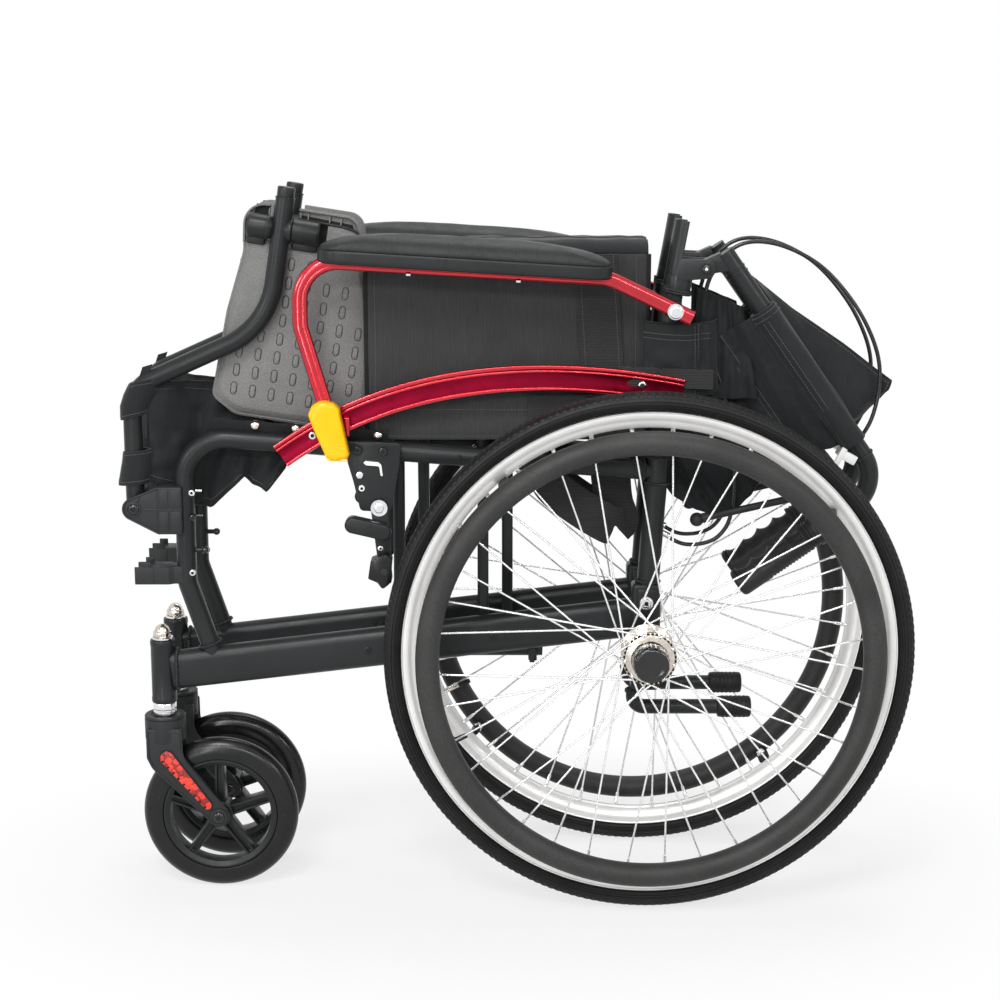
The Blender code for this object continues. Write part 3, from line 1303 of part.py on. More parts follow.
def build():
    """Makes every piece and files it in the wheelchair's collection."""
    clear_scene()
    y = -FRAME_Y
    ground = Vector((0, 0, 0))
    axle = at(0, -WHEEL_Y, AXLE_Z)
    spindle = at(SPINDLE_X, y, FORK_TOP_Z)
    caster = at(CASTER_X, y, CASTER_Z)
    arm = at(ARM_PIVOT[0], -ARM_Y, ARM_PIVOT[1])
    latch = at(LATCH_PIVOT[0], -ARM_Y, LATCH_PIVOT[1])
    leg = at(LEG_PIVOT[0], y, LEG_PIVOT[1])
    foot = at(FOOT_HINGE_X, -FOOT_HINGE_Y, FOOT_HINGE_Z)
    cane = at(CANE_PIVOT[0], y, CANE_PIVOT[1])
    lever_xz = folded(*LEVER_PIVOT)
    lever = at(lever_xz.x, y, lever_xz.y)
    cane_end = folded(BACK_S[0], 0)
    brake = at(BRAKE_PIVOT[0], -BRAKE_PLATE_Y[1], BRAKE_PIVOT[1])
    seat = at(SEAT_X[0], -(FRAME_Y - TUBE_R), SEAT_BASE_Z)
    strap = at((LEG_PIVOT[0] + LEG_CORNER_LOW[0]) / 2, y, STRAP_Z[0])
    yellow = material("latch_yellow", (0.92, 0.58, 0.02), 0.35)
    reflector = material("reflector_red", (0.65, 0.03, 0.02), 0.3)
    grey = material("footplate_grey", (0.09, 0.095, 0.10), 0.7)
    pairs = [
        (side_frame, "side_frame", black_frame(), ground),
        (side_guard, "side_guard", red_anodised(), ground),
        (leg_bracket, "leg_bracket", black_plastic(), ground),
        (lower_clip, "lower_clip", black_plastic(), ground),
        (tipping_lever, "tipping_lever", black_frame(), ground),
        (brake_plate, "brake_plate", black_frame(), ground),
        (brake_lever, "brake_lever", black_plastic(), brake),
        (caster_fork, "caster_fork", black_plastic(), spindle),
        (fork_stem, "fork_stem", chrome(), spindle),
        (fork_reflector, "fork_reflector", reflector, spindle),
        (caster_rim, "caster_rim", black_plastic(), caster),
        (caster_tyre, "caster_tyre", rubber(), caster),
        (rear_tyre, "rear_tyre", rubber(), axle),
        (rear_rim, "rear_rim", silver(), axle),
        (wheel_spokes, "wheel_spokes", chrome(), axle),
        (handrim, "handrim", black_plastic(), axle),
        (hub_cap, "hub_cap", black_plastic(), axle),
        (armrest_bar, "armrest_bar", red_anodised(), arm),
        (arm_pad, "arm_pad", rubber(), arm),
        (armrest_latch, "armrest_latch", yellow, latch),
        (legrest_tube, "legrest_tube", black_frame(), leg),
        (footplate, "footplate", grey, foot),
        (calf_half, "calf_strap", cloth(), strap),
        (back_cane, "back_cane", black_frame(), cane),
        (push_grip, "push_grip", rubber(), cane),
        (attendant_lever, "attendant_lever", black_frame(), lever),
        (back_half, "back_cloth", cloth(), at(cane_end.x, y, cane_end.y)),
        (seat_half, "seat_cloth", cloth(), seat),
        (brake_cable, "brake_cable", rubber(), ground),
    ]
    pieces = []
    for make, name, look, pivot in pairs:
        pieces += left_and_right(make(), name, look, pivot)
    near = brace("brace_a", BRACE_A_X, -1, True)
    far = brace("brace_b", BRACE_B_X, 1, False)
    pieces.append(finish(near, "brace_a", black_frame(), at(0, -PIVOT_Y, PIVOT_Z)))
    pieces.append(finish(far, "brace_b", black_frame(), at(0, 0, CENTRE_Z)))
    collection = bpy.data.collections.new("folding_wheelchair")
    bpy.context.scene.collection.children.link(collection)
    for piece in pieces:
        bpy.context.scene.collection.objects.unlink(piece)
        collection.objects.link(piece)


build()
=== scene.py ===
import math

import bmesh
import bpy
from mathutils import Matrix, Vector, noise

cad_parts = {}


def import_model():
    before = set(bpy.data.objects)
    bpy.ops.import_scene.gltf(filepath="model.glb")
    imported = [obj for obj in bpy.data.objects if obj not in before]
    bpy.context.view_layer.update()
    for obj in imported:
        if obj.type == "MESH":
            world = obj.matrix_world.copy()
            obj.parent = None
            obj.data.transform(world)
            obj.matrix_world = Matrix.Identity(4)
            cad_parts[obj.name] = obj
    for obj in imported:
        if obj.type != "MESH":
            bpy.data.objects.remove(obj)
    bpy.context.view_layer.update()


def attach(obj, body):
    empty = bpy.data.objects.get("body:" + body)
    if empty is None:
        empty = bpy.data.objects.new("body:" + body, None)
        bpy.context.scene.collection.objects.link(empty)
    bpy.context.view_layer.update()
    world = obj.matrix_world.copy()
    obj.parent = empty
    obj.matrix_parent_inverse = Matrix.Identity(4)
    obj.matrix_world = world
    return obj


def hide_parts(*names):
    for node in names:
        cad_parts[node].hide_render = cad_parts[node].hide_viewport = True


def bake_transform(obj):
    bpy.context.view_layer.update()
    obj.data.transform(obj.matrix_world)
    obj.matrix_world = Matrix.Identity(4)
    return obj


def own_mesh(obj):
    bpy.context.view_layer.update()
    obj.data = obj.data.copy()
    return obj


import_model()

# Stations of the wheelchair in metres, X measured from the rear axle
AXLE_X = 0.1397
FRAME_Y = 0.045
WHEEL_Y, HANDRIM_Y, ARM_Y, PAD_Y = 0.1, 0.137, 0.076, 0.088
AXLE_Z = 0.28
CASTER_X, CASTER_Z = -0.464, 0.085
SPINDLE_X = -0.5225
HANDRIM_R, HANDRIM_TUBE = 0.2327, 0.0125
TUBE_R, POST_R, CANE_R, LEG_R = 0.0105, 0.012, 0.0105, 0.0095
PIVOT_Y, PIVOT_Z, RAIL_Z = 0.024, 0.265, 0.696
CANE_PIVOT, CANE_OFFSET = Vector((0.0565, 0.6819)), 0.0251
CANE_DROP, BACK_TILT = math.radians(54.6), math.radians(10)
CANE_LENGTH, HANDLE_LENGTH = 0.301, 0.187
CANE_DIR = Vector((math.cos(CANE_DROP), -math.sin(CANE_DROP)))
CANE_NORMAL = Vector((-math.sin(CANE_DROP), -math.cos(CANE_DROP)))
UP_DIR = Vector((math.sin(BACK_TILT), math.cos(BACK_TILT)))
UP_NORMAL = Vector((math.cos(BACK_TILT), -math.sin(BACK_TILT)))
LEG_PIVOT = (-0.5459, 0.4277)
LEG_CORNERS = [(-0.5459, 0.5556), (-0.4, 0.6207)]
LEG_TOP = (-0.3775, 0.7655)
HINGE, HINGE_TILT = Vector((-0.38426, 0.722)), math.radians(8.832)
ARM_PIVOT, ARM_END = (0.0239, 0.6399), (0.0413, 0.6325)
ARM_KNEE, ARM_CORNER, ARM_HEEL = (-0.045, 0.674), (-0.3635, 0.6932), (-0.3635, 0.6247)
ARM_FOOT = (-0.3305, 0.512)
BRAKE_PIVOT = (-0.2847, 0.431)
BRAKE_SHOE = (-0.27899, 0.36551)
ARM_INNER = -ARM_Y + 0.0053
HAND_PIVOT = (CANE_LENGTH - 0.033, 0.06)
CABLE_Y = -0.0262
SPOKE_COUNT, SPOKE_CROSSING = 36, math.radians(60)
KNOBS_ROUND = 216
TAB_ANGLES = (39.5, 129.5, 219.5, 309.5)


def at(x, y, z):
    """A point by its distance behind the rear axle, its side place and its height."""
    return Vector((AXLE_X + x, y, z))


def folded(s, n):
    """X and Z of a point of the folded cane."""
    return CANE_PIVOT - CANE_OFFSET * CANE_NORMAL + s * CANE_DIR + n * CANE_NORMAL


def upright(s, n):
    """X and Z of the same point of the cane standing in its cradle."""
    return CANE_PIVOT - CANE_OFFSET * UP_NORMAL + s * UP_DIR + n * UP_NORMAL


def cane_at(s, y, n):
    place = folded(s, n)
    return at(place.x, y, place.y)


def post_x(z):
    """X of the rear post's middle at a height."""
    return 0.0014 + (z - 0.331) * 0.0632


def top_tube_z(x):
    """Height of the top tube's middle."""
    return 0.4665 + (x - 0.01) / (-0.4934 - 0.01) * 0.0387


def beam_z(x):
    """Height of the lower beam's middle."""
    return 0.2466 + (x + 0.512) * 0.1185


def hinge_spot(s, n):
    """X and Z of a point s along the footplate's hinge, to the rear, and n up its tube."""
    cos, sin = math.cos(HINGE_TILT), math.sin(HINGE_TILT)
    return Vector((HINGE.x + s * cos + n * sin, HINGE.y - s * sin + n * cos))


def hinge_spots(*spots):
    return [hinge_spot(s, n) for s, n in spots]


def hinge_at(s, n=0.0, y=-0.04):
    spot = hinge_spot(s, n)
    return at(spot.x, y, spot.y)


# Materials


def node_of(tree, kind, inputs, **values):
    """A new node. An input takes a value, or a link where a socket is given."""
    made = tree.nodes.new("ShaderNode" + kind)
    for key, value in values.items():
        setattr(made, key, value)
    for key, value in inputs.items():
        if isinstance(value, bpy.types.NodeSocket):
            tree.links.new(value, made.inputs[key])
        else:
            made.inputs[key].default_value = value
    return made


class Graph:
    """A Principled material built node by node."""

    def __init__(self, name, colour, rough, metallic=0.0, coat=0.0, sheen=0.0, specular=0.5,
                 coat_rough=0.12):
        self.made = bpy.data.materials.new(name)
        self.made.use_nodes = True
        self.tree = self.made.node_tree
        self.shader = self.tree.nodes["Principled BSDF"]
        self.colour = (*colour, 1.0)
        for socket, value in (("Base Color", self.colour), ("Roughness", rough),
                              ("Metallic", metallic), ("Coat Weight", coat),
                              ("Coat Roughness", coat_rough), ("Sheen Weight", sheen),
                              ("Sheen Roughness", 0.5), ("Specular IOR Level", specular)):
            self.shader.inputs[socket].default_value = value
        self.place = self.tree.nodes.new("ShaderNodeTexCoord").outputs["Object"]
        self.last_bump = None

    def node(self, kind, inputs, **values):
        return node_of(self.tree, kind, inputs, **values)

    def scaled(self, stretch):
        return self.node("Mapping", {"Scale": stretch, "Vector": self.place}).outputs["Vector"]

    def noise(self, scale, detail=4.0, stretch=(1, 1, 1), rough=0.6):
        return self.node("TexNoise", {"Scale": scale, "Detail": detail, "Roughness": rough,
                                      "Vector": self.scaled(stretch)}).outputs["Fac"]

    def cells(self, scale):
        return self.node("TexVoronoi", {"Scale": scale, "Vector": self.scaled((1, 1, 1))},
                         feature="F1").outputs["Distance"]

    def wave(self, pitch, axis, distortion):
        """Sine bands, one to each pitch in metres along the axis."""
        return self.node("TexWave", {"Scale": 0.314159 / pitch, "Distortion": distortion,
                                     "Detail": 1.0, "Detail Scale": 3.0, "Vector": self.place},
                         wave_type="BANDS", bands_direction=axis,
                         wave_profile="SIN").outputs["Fac"]

    def math(self, operation, a, b):
        return self.node("Math", {0: a, 1: b}, operation=operation).outputs[0]

    def spread(self, fac, low, high, start=0.3, end=0.7):
        return self.node("MapRange", {"From Min": start, "From Max": end, "To Min": low,
                                      "To Max": high, "Value": fac}, clamp=True).outputs["Result"]

    def lay(self, mix):
        """Puts a colour mix over the base colour as it is so far."""
        base = self.shader.inputs["Base Color"]
        if base.links:
            self.tree.links.new(base.links[0].from_socket, mix.inputs[6])
        else:
            mix.inputs[6].default_value = self.colour
        self.tree.links.new(mix.outputs[2], base)

    def paint(self, fac, low, high, start=0.3, end=0.7):
        """Mixes two shades of the colour by a pattern, over what is painted already."""
        ramp = self.node("ValToRGB", {"Fac": fac})
        for element, place, shade in zip(ramp.color_ramp.elements, (start, end), (low, high)):
            element.position = place
            element.color = (shade, shade, shade, 1)
        self.lay(self.node("Mix", {"Factor": 1.0, 7: ramp.outputs["Color"]}, data_type="RGBA",
                           blend_type="MULTIPLY"))

    def tint(self, fac, colour, start, end):
        """Lays another colour over the base where the pattern is high."""
        self.lay(self.node("Mix", {"Factor": self.spread(fac, 0.0, 1.0, start, end),
                                   7: (*colour, 1.0)}, data_type="RGBA"))

    def gloss(self, fac, low, high):
        self.tree.links.new(self.spread(fac, low, high), self.shader.inputs["Roughness"])

    def bump(self, height, depth, strength):
        made = self.node("Bump", {"Strength": strength, "Distance": depth, "Height": height})
        if self.last_bump:
            self.tree.links.new(self.last_bump, made.inputs["Normal"])
        self.last_bump = made.outputs["Normal"]
        self.tree.links.new(self.last_bump, self.shader.inputs["Normal"])


def look(name, colour, rough, paint=(), tint=(), gloss=(), bump=(), **surface):
    """A material of plain patterns. A row starts with a noise's scale and detail, where detail 0
    asks for cells, and goes on with that step's own values."""
    g = Graph(name, colour, rough, **surface)
    for step, rows in ((g.paint, paint), (g.tint, tint), (g.gloss, gloss), (g.bump, bump)):
        for scale, detail, *values in rows:
            step(g.noise(scale, detail) if detail else g.cells(scale), *values)
    return g


def moulded_black(name, colour, rough):
    return look(name, colour, rough, specular=0.24, paint=[(14, 4, 0.8, 1.25)],
                gloss=[(90, 5, rough - 0.08, rough + 0.1)],
                bump=[(1600, 0, 0.00007, 0.55), (220, 3, 0.0002, 0.15)]).made


def rim_silver():
    """Machined rim wall: fine turned rings round the axle."""
    g = look("rim_silver", (0.83, 0.825, 0.81), 0.36, metallic=0.45,
             paint=[(25, 3, 0.93, 1.04)], gloss=[(30, 2, 0.31, 0.37)])
    offset = g.node("VectorMath", {0: g.place, 1: (AXLE_X, 0.0, AXLE_Z)}, operation="SUBTRACT")
    flat = g.node("VectorMath", {0: offset.outputs[0], 1: (1.0, 0.0, 1.0)}, operation="MULTIPLY")
    length = g.node("VectorMath", {0: flat.outputs[0]}, operation="LENGTH")
    rings = g.math("SINE", g.math("MULTIPLY", length.outputs["Value"], 9000.0), 0.0)
    g.bump(rings, 0.000004, 0.12)
    return g.made


def pad_skin():
    """Grained foam skin with fine wrinkles across it."""
    g = look("pad_skin", (0.011, 0.0125, 0.0125), 0.4, specular=0.26,
             paint=[(18, 4, 0.8, 1.25)], gloss=[(60, 5, 0.36, 0.52)])
    wrinkle = g.noise(120, 5, (3.2, 1.0, 0.55), 0.75)
    g.paint(wrinkle, 0.8, 1.35, 0.42, 0.66)
    g.bump(wrinkle, 0.0009, 0.55)
    g.bump(g.cells(900), 0.0002, 0.3)
    return g.made


def woven(name, colour, rough, across, pitch, depth, sheen=0.25):
    """Cloth with ribs across one direction, a thread crossing them and a little lint."""
    g = Graph(name, colour, rough, sheen=sheen, specular=0.14)
    rib = g.wave(pitch, across, 0.15)
    thread = g.wave(pitch * 0.62, "Z" if across != "Z" else "X", 0.25)
    both = g.math("ADD", rib, g.math("MULTIPLY", thread, 0.6))
    g.paint(g.noise(7, 4), 0.82, 1.22)
    g.paint(g.noise(160, 4, (4.0, 1.0, 0.25)), 0.84, 1.18)
    g.paint(both, 0.72, 1.22, 0.2, 1.4)
    g.gloss(g.noise(30, 4), rough - 0.08, min(1.0, rough + 0.08))
    g.bump(both, depth, 0.65)
    g.bump(g.noise(55, 4), 0.0016, 0.2)
    return g.made


def webbing():
    """Belt webbing: strong cross ribs."""
    g = Graph("webbing", (0.0115, 0.012, 0.0125), 0.62, sheen=0.15, specular=0.35)
    rib = g.wave(0.0016, "Z", 0.3)
    g.paint(g.noise(20, 4), 0.8, 1.25)
    g.paint(rib, 0.45, 1.65, 0.15, 0.85)
    g.paint(g.noise(700, 3), 0.75, 1.3)
    g.bump(rib, 0.0007, 0.85)
    g.bump(g.noise(500, 3), 0.0002, 0.4)
    return g.made


POWDER = look("powder_black", (0.0175, 0.019, 0.0196), 0.36, metallic=0.15, specular=0.22,
              paint=[(9, 3, 0.82, 1.22), (2600, 2, 0.75, 1.45, 0.35, 0.75)],
              gloss=[(35, 5, 0.27, 0.4)],
              bump=[(1500, 2, 0.00009, 0.5), (60, 3, 0.0003, 0.12)]).made
PLASTIC = moulded_black("moulded_black", (0.02, 0.021, 0.022), 0.46)
PLASTIC_FINE = moulded_black("plastic_fine", (0.0125, 0.0135, 0.014), 0.34)
GRIP = moulded_black("grip_rubber", (0.019, 0.019, 0.02), 0.5)
GLOSSY = look("glossy_black", (0.012, 0.012, 0.013), 0.12, coat=0.3, specular=0.3,
              paint=[(20, 4, 0.8, 1.2)], gloss=[(45, 6, 0.07, 0.2)],
              bump=[(80, 3, 0.0001, 0.08)]).made
CASTER_RUBBER = look("caster_rubber", (0.006, 0.0062, 0.0064), 0.26, coat=0.08, specular=0.28,
                     paint=[(25, 5, 0.75, 1.3)], gloss=[(60, 6, 0.17, 0.34)],
                     tint=[(160, 6, (0.035, 0.034, 0.032), 0.66, 0.8)],
                     bump=[(300, 3, 0.0001, 0.18)]).made
TYRE = look("tyre_rubber", (0.0095, 0.0095, 0.0097), 0.5, specular=0.2,
            paint=[(30, 5, 0.72, 1.35), (700, 3, 0.8, 1.2)], gloss=[(80, 5, 0.4, 0.62)],
            bump=[(900, 3, 0.00012, 0.5)]).made
RING_MATT = look("ring_matt", (0.031, 0.0305, 0.03), 0.48, specular=0.25,
                 paint=[(16, 5, 0.8, 1.22), (480, 4, 0.8, 1.22)],
                 gloss=[(40, 5, 0.42, 0.6)], bump=[(650, 4, 0.00022, 0.55)]).made
CHROME = look("bright_chrome", (0.8, 0.8, 0.82), 0.13, metallic=1.0,
              paint=[(60, 4, 0.88, 1.06)], gloss=[(120, 5, 0.08, 0.24)]).made
SPOKE = look("spoke_steel", (0.88, 0.88, 0.88), 0.24, metallic=0.75,
             paint=[(40, 3, 0.9, 1.05)], gloss=[(300, 3, 0.16, 0.32)]).made
NICKEL = look("nickel", (0.66, 0.6, 0.53), 0.16, metallic=1.0,
              paint=[(150, 5, 0.75, 1.1)], gloss=[(200, 5, 0.1, 0.34)]).made
RIM = rim_silver()
RED = look("red_anodised", (0.5, 0.006, 0.018), 0.2, metallic=0.9, coat=0.9, coat_rough=0.07,
           paint=[(10, 3, 0.85, 1.15)], gloss=[(50, 5, 0.13, 0.24)],
           bump=[(900, 2, 0.00002, 0.2)]).made
# The guard's sunk face: the extrusion's red, made darker as painted shade.
RED_FACE_SHADE = look("red_face_shade", (0.19, 0.002, 0.017), 0.34, metallic=0.85, specular=0.2,
            paint=[(12, 4, 0.85, 1.18), (90, 6, 0.92, 1.08)], gloss=[(70, 5, 0.24, 0.4)],
            bump=[(700, 2, 0.00005, 0.35)]).made
PAD = pad_skin()
YELLOW = look("yellow_gloss", (0.84, 0.46, 0.0), 0.34, coat=0.05, specular=0.25,
              paint=[(40, 4, 0.93, 1.05)], gloss=[(130, 5, 0.22, 0.38)],
              bump=[(500, 3, 0.00008, 0.35)]).made
REFLECTOR = look("reflector", (0.96, 0.04, 0.014), 0.3, coat=0.25,
                 paint=[(430, 0, 1.25, 0.7, 0.05, 0.55)],
                 tint=[(150, 0, (0.25, 0.0, 0.0), 0.5, 0.62)], bump=[(430, 0, 0.0006, 0.8)]).made
GREY = look("footplate_grey", (0.14, 0.139, 0.136), 0.52, specular=0.28,
            paint=[(12, 4, 0.85, 1.18), (620, 0, 0.88, 1.14, 0.1, 0.7)],
            gloss=[(50, 5, 0.42, 0.58)],
            bump=[(620, 0, 0.0008, 0.5), (260, 4, 0.0007, 0.35)]).made
SEAT_CLOTH = woven("seat_cloth", (0.031, 0.031, 0.0315), 0.78, "X", 0.0015, 0.0004)
NYLON = woven("nylon", (0.0105, 0.0118, 0.0125), 0.55, "X", 0.001, 0.0002, 0.1)
BLACK_TAPE = woven("black_tape", (0.008, 0.0088, 0.0092), 0.62, "Z", 0.001, 0.00025, 0.1)
WEBBING = webbing()
STITCH = look("stitch_black", (0.06, 0.062, 0.066), 0.6, sheen=0.3,
              paint=[(900, 3, 0.7, 1.3)], bump=[(1500, 2, 0.0001, 0.5)]).made
# Near-black: painted shade in bolt sockets, holes and the footplate's hinge recess, and the real
# dark joint lines of the rim and the leg rest's hinge.
RECESS_SHADE_AND_SEAM = look("recess_shade_and_seam", (0.003, 0.003, 0.003), 0.9, paint=[(50, 2, 0.8, 1.2)]).made
WHITE_CLIP = look("clip_white", (0.8, 0.8, 0.78), 0.38, paint=[(60, 4, 0.93, 1.04)],
                  bump=[(500, 3, 0.00006, 0.3)]).made
CABLE = look("cable_skin", (0.012, 0.012, 0.013), 0.22, coat=0.1, specular=0.35,
             paint=[(50, 4, 0.8, 1.3)], gloss=[(150, 4, 0.16, 0.32)]).made


# Shapes


def angles(count):
    return [math.tau * k / count for k in range(count)]


def circle(centre, radius, start=0.0, sweep=math.tau, steps=24):
    count = steps if abs(sweep) >= math.tau - 1e-6 else steps + 1
    turn = [start + sweep * i / steps for i in range(count)]
    return [Vector(centre) + radius * Vector((math.cos(a), math.sin(a))) for a in turn]


def stadium(start, end, radius, end_radius=None, steps=12):
    start, end = Vector(start), Vector(end)
    angle = math.atan2(end.y - start.y, end.x - start.x)
    first = circle(start, radius, angle + math.pi / 2, math.pi, steps)
    return first + circle(end, end_radius or radius, angle - math.pi / 2, math.pi, steps)


def rounded(corners, radii, steps=10):
    """A path in X and Z with its inner corners turned into arcs."""
    path = [Vector(corners[0])]
    for index, radius in enumerate(radii, start=1):
        here = Vector(corners[index])
        back = (Vector(corners[index - 1]) - here).normalized()
        ahead = (Vector(corners[index + 1]) - here).normalized()
        half = back.angle(ahead) / 2
        reach = radius / math.tan(half)
        centre = here + (back + ahead).normalized() * (radius / math.sin(half))
        first = here + back * reach - centre
        sweep = (here + ahead * reach - centre).angle_signed(first)
        for step in range(steps + 1):
            path.append(centre + Matrix.Rotation(sweep * step / steps, 2) @ first)
    path.append(Vector(corners[-1]))
    return path


def rounded_loop(corners, radii, steps=5):
    outline = []
    for index, radius in enumerate(radii):
        trio = [corners[index - 1], corners[index], corners[(index + 1) % len(corners)]]
        outline += rounded(trio, [radius], steps)[1:-1] if radius else [Vector(trio[1])]
    return outline


def smooth_route(points, steps=6):
    """A smooth curve through points of any size."""
    points = [Vector(p) for p in points]
    ends = [2 * points[0] - points[1], *points, 2 * points[-1] - points[-2]]
    route = []
    for i in range(1, len(ends) - 2):
        p0, p1, p2, p3 = ends[i - 1:i + 3]
        for step in range(steps):
            t = step / steps
            a = 2 * p1 + (p2 - p0) * t
            b = (2 * p0 - 5 * p1 + 4 * p2 - p3) * t * t
            c = (3 * p1 - p0 - 3 * p2 + p3) * t ** 3
            route.append((a + b + c) / 2)
    route.append(points[-1])
    return route


def dense(path, step=0.004):
    """The same path with points no further apart than the step."""
    out = [path[0]]
    for a, b in zip(path, path[1:]):
        count = max(1, math.ceil((b - a).length / step))
        out += [a.lerp(b, i / count) for i in range(1, count + 1)]
    return out


def placed(name, data):
    """A new object of the scene."""
    made = bpy.data.objects.new(name, data)
    bpy.context.scene.collection.objects.link(made)
    return made


class Piece:
    """Parts of one visible piece, gathered into one mesh."""

    def __init__(self):
        self.mesh = bmesh.new()
        self.looks = []

    def take(self, part, look, bevel=0.0, segments=2):
        bmesh.ops.recalc_face_normals(part, faces=part.faces)
        if bevel:
            limit = math.radians(32)
            edges = [e for e in part.edges
                     if len(e.link_faces) == 2 and e.calc_face_angle(0.0) > limit]
            bmesh.ops.bevel(part, geom=edges, offset=bevel, segments=segments, profile=0.5,
                            affect="EDGES", clamp_overlap=True)
        if look not in self.looks:
            self.looks.append(look)
        slot = self.looks.index(look)
        for face in part.faces:
            face.material_index = slot
        mesh = bpy.data.meshes.new("part")
        part.to_mesh(mesh)
        part.free()
        self.mesh.from_mesh(mesh)
        bpy.data.meshes.remove(mesh)

    def rings(self, rings, look, closed=False, caps=True, bevel=0.0, segments=2):
        """A skin over rings of the same number of points."""
        part = bmesh.new()
        made = [[part.verts.new(p) for p in ring] for ring in rings]
        pairs = list(zip(made, made[1:] + made[:1])) if closed else list(zip(made, made[1:]))
        for first, second in pairs:
            for i in range(len(first)):
                j = (i + 1) % len(first)
                part.faces.new((first[i], first[j], second[j], second[i]))
        if caps and not closed:
            part.faces.new(made[0][::-1])
            part.faces.new(made[-1])
        self.take(part, look, bevel, segments)

    def tube(self, points, radius, look, sides=20, closed=False, flat=1.0):
        """A round bar along points in space, without twist."""
        points = [Vector(p) for p in points]
        last = len(points) - 1
        tangents = []
        for i, here in enumerate(points):
            a = points[i - 1] if i or closed else here
            b = points[(i + 1) % len(points)] if i < last or closed else here
            tangents.append((b - a).normalized())
        normal = tangents[0].orthogonal().normalized()
        rings = []
        for i, here in enumerate(points):
            if i:
                turn = tangents[i - 1].rotation_difference(tangents[i])
                normal = (turn @ normal).normalized()
            side = tangents[i].cross(normal).normalized()
            rings.append([here + (normal * math.cos(a) + side * math.sin(a) * flat) * radius
                          for a in angles(sides)])
        self.rings(rings, look, closed)

    def rod(self, start, end, radius, look, sides=24, end_radius=None, bevel=0.0):
        start, end = Vector(start), Vector(end)
        along = end - start
        turn = along.to_track_quat("Z", "Y").to_matrix().to_4x4()
        part = bmesh.new()
        bmesh.ops.create_cone(part, cap_ends=True, segments=sides, radius1=radius,
                              radius2=radius if end_radius is None else end_radius,
                              depth=along.length,
                              matrix=Matrix.Translation((start + end) / 2) @ turn)
        self.take(part, look, bevel)

    def pin(self, spot, y0, y1, radius, look, sides=24):
        """A rod straight across the chair at a place in X and Z."""
        self.rod(*(at(spot[0], y, spot[1]) for y in (y0, y1)), radius, look, sides)

    def turned(self, profile, centre, along, look, steps=48, closed=True, bevel=0.0):
        """(radius, height) points turned round the axis along; closed makes a ring of them."""
        turn = Vector(along).to_track_quat("Z", "Y").to_matrix()
        rings = []
        for radius, height in profile:
            rings.append([Vector(centre) + turn @ Vector((radius * math.cos(a),
                                                          radius * math.sin(a), height))
                          for a in angles(steps)])
        self.rings(rings, look, closed, not closed, bevel)

    def ball(self, centre, radius, look, u=16, v=10):
        part = bmesh.new()
        bmesh.ops.create_uvsphere(part, u_segments=u, v_segments=v, radius=radius,
                                  matrix=Matrix.Translation(centre))
        self.take(part, look)

    def plate(self, outline, y0, y1, look, bevel=0.0, segments=2):
        """A flat outline in X and Z, given depth from y0 to y1."""
        self.rings([xz(outline, y) for y in (y0, y1)], look, bevel=bevel, segments=segments)

    def box(self, low, high, look, bevel=0.0, segments=2, turn=None):
        low, high = Vector(low), Vector(high)
        size, middle = high - low, (high + low) / 2
        part = bmesh.new()
        place = Matrix.Translation(middle)
        if turn:
            place = place @ turn
        bmesh.ops.create_cube(part, size=1.0,
                              matrix=place @ Matrix.Diagonal((*(abs(v) for v in size), 1)))
        self.take(part, look, bevel, segments)

    def swept(self, path, y, section, look, bevel=0.0):
        """A bar: a closed section of (across, outward) points carried along an X and Z path."""
        last = len(path) - 1
        rings = []
        for index, here in enumerate(path):
            back = (here - path[index - 1]).normalized() if index else None
            ahead = (path[index + 1] - here).normalized() if index < last else None
            along = ((back or ahead) + (ahead or back)).normalized()
            side = Vector((-along.y, along.x)) / max(0.5, along.dot(ahead or back))
            rings.append([at((here + side * a).x, y - o, (here + side * a).y) for a, o in section])
        self.rings(rings, look, bevel=bevel)

    def bolt(self, centre, along, radius, look=None, height=None, socket=True, washer=None):
        """A round-headed bolt with a hex socket."""
        look = look or CHROME
        along = Vector(along).normalized()
        h = height or radius * 0.7
        centre = Vector(centre)
        if washer:
            self.turned([(washer, -0.0002), (washer, 0.0007), (washer - 0.0005, 0.0011),
                         (0.0005, 0.0011)], centre, along, look, 24, False)
        self.turned([(radius, 0.0), (radius, h * 0.55), (radius * 0.86, h * 0.88),
                     (radius * 0.6, h), (radius * 0.52, h)], centre, along, look, 24, False)
        # The socket is a near-black plug standing out of the head: painted shade in place of the
        # hex recess.
        if socket:
            self.turned([(radius * 0.5, h * 0.2), (radius * 0.5, h + 0.00006)], centre, along,
                        RECESS_SHADE_AND_SEAM, 6, False)

    def nut(self, centre, along, radius, height, look=None):
        self.turned([(radius, 0.0), (radius, height), (radius * 0.8, height * 1.12)], centre,
                    along, look or CHROME, 6, False, bevel=radius * 0.08)

    def weld(self, points, look, radius=0.0019, pitch=0.0021):
        """A welded bead: overlapping flattened drops along a path."""
        path = dense([Vector(p) for p in points], 0.0007)
        run = 0.0
        for a, b in zip(path, path[1:]):
            run += (b - a).length
            if run >= pitch:
                run = 0.0
                self.ball(b, radius, look, 8, 5)

    def stitches(self, points, look=None, radius=0.00035, pitch=0.0042):
        """A line of short threads."""
        path = dense([Vector(p) for p in points], pitch / 6)
        for i in range(0, len(path) - 4, 6):
            self.tube([path[i], path[i + 2], path[i + 4]], radius, look or STITCH, 5)

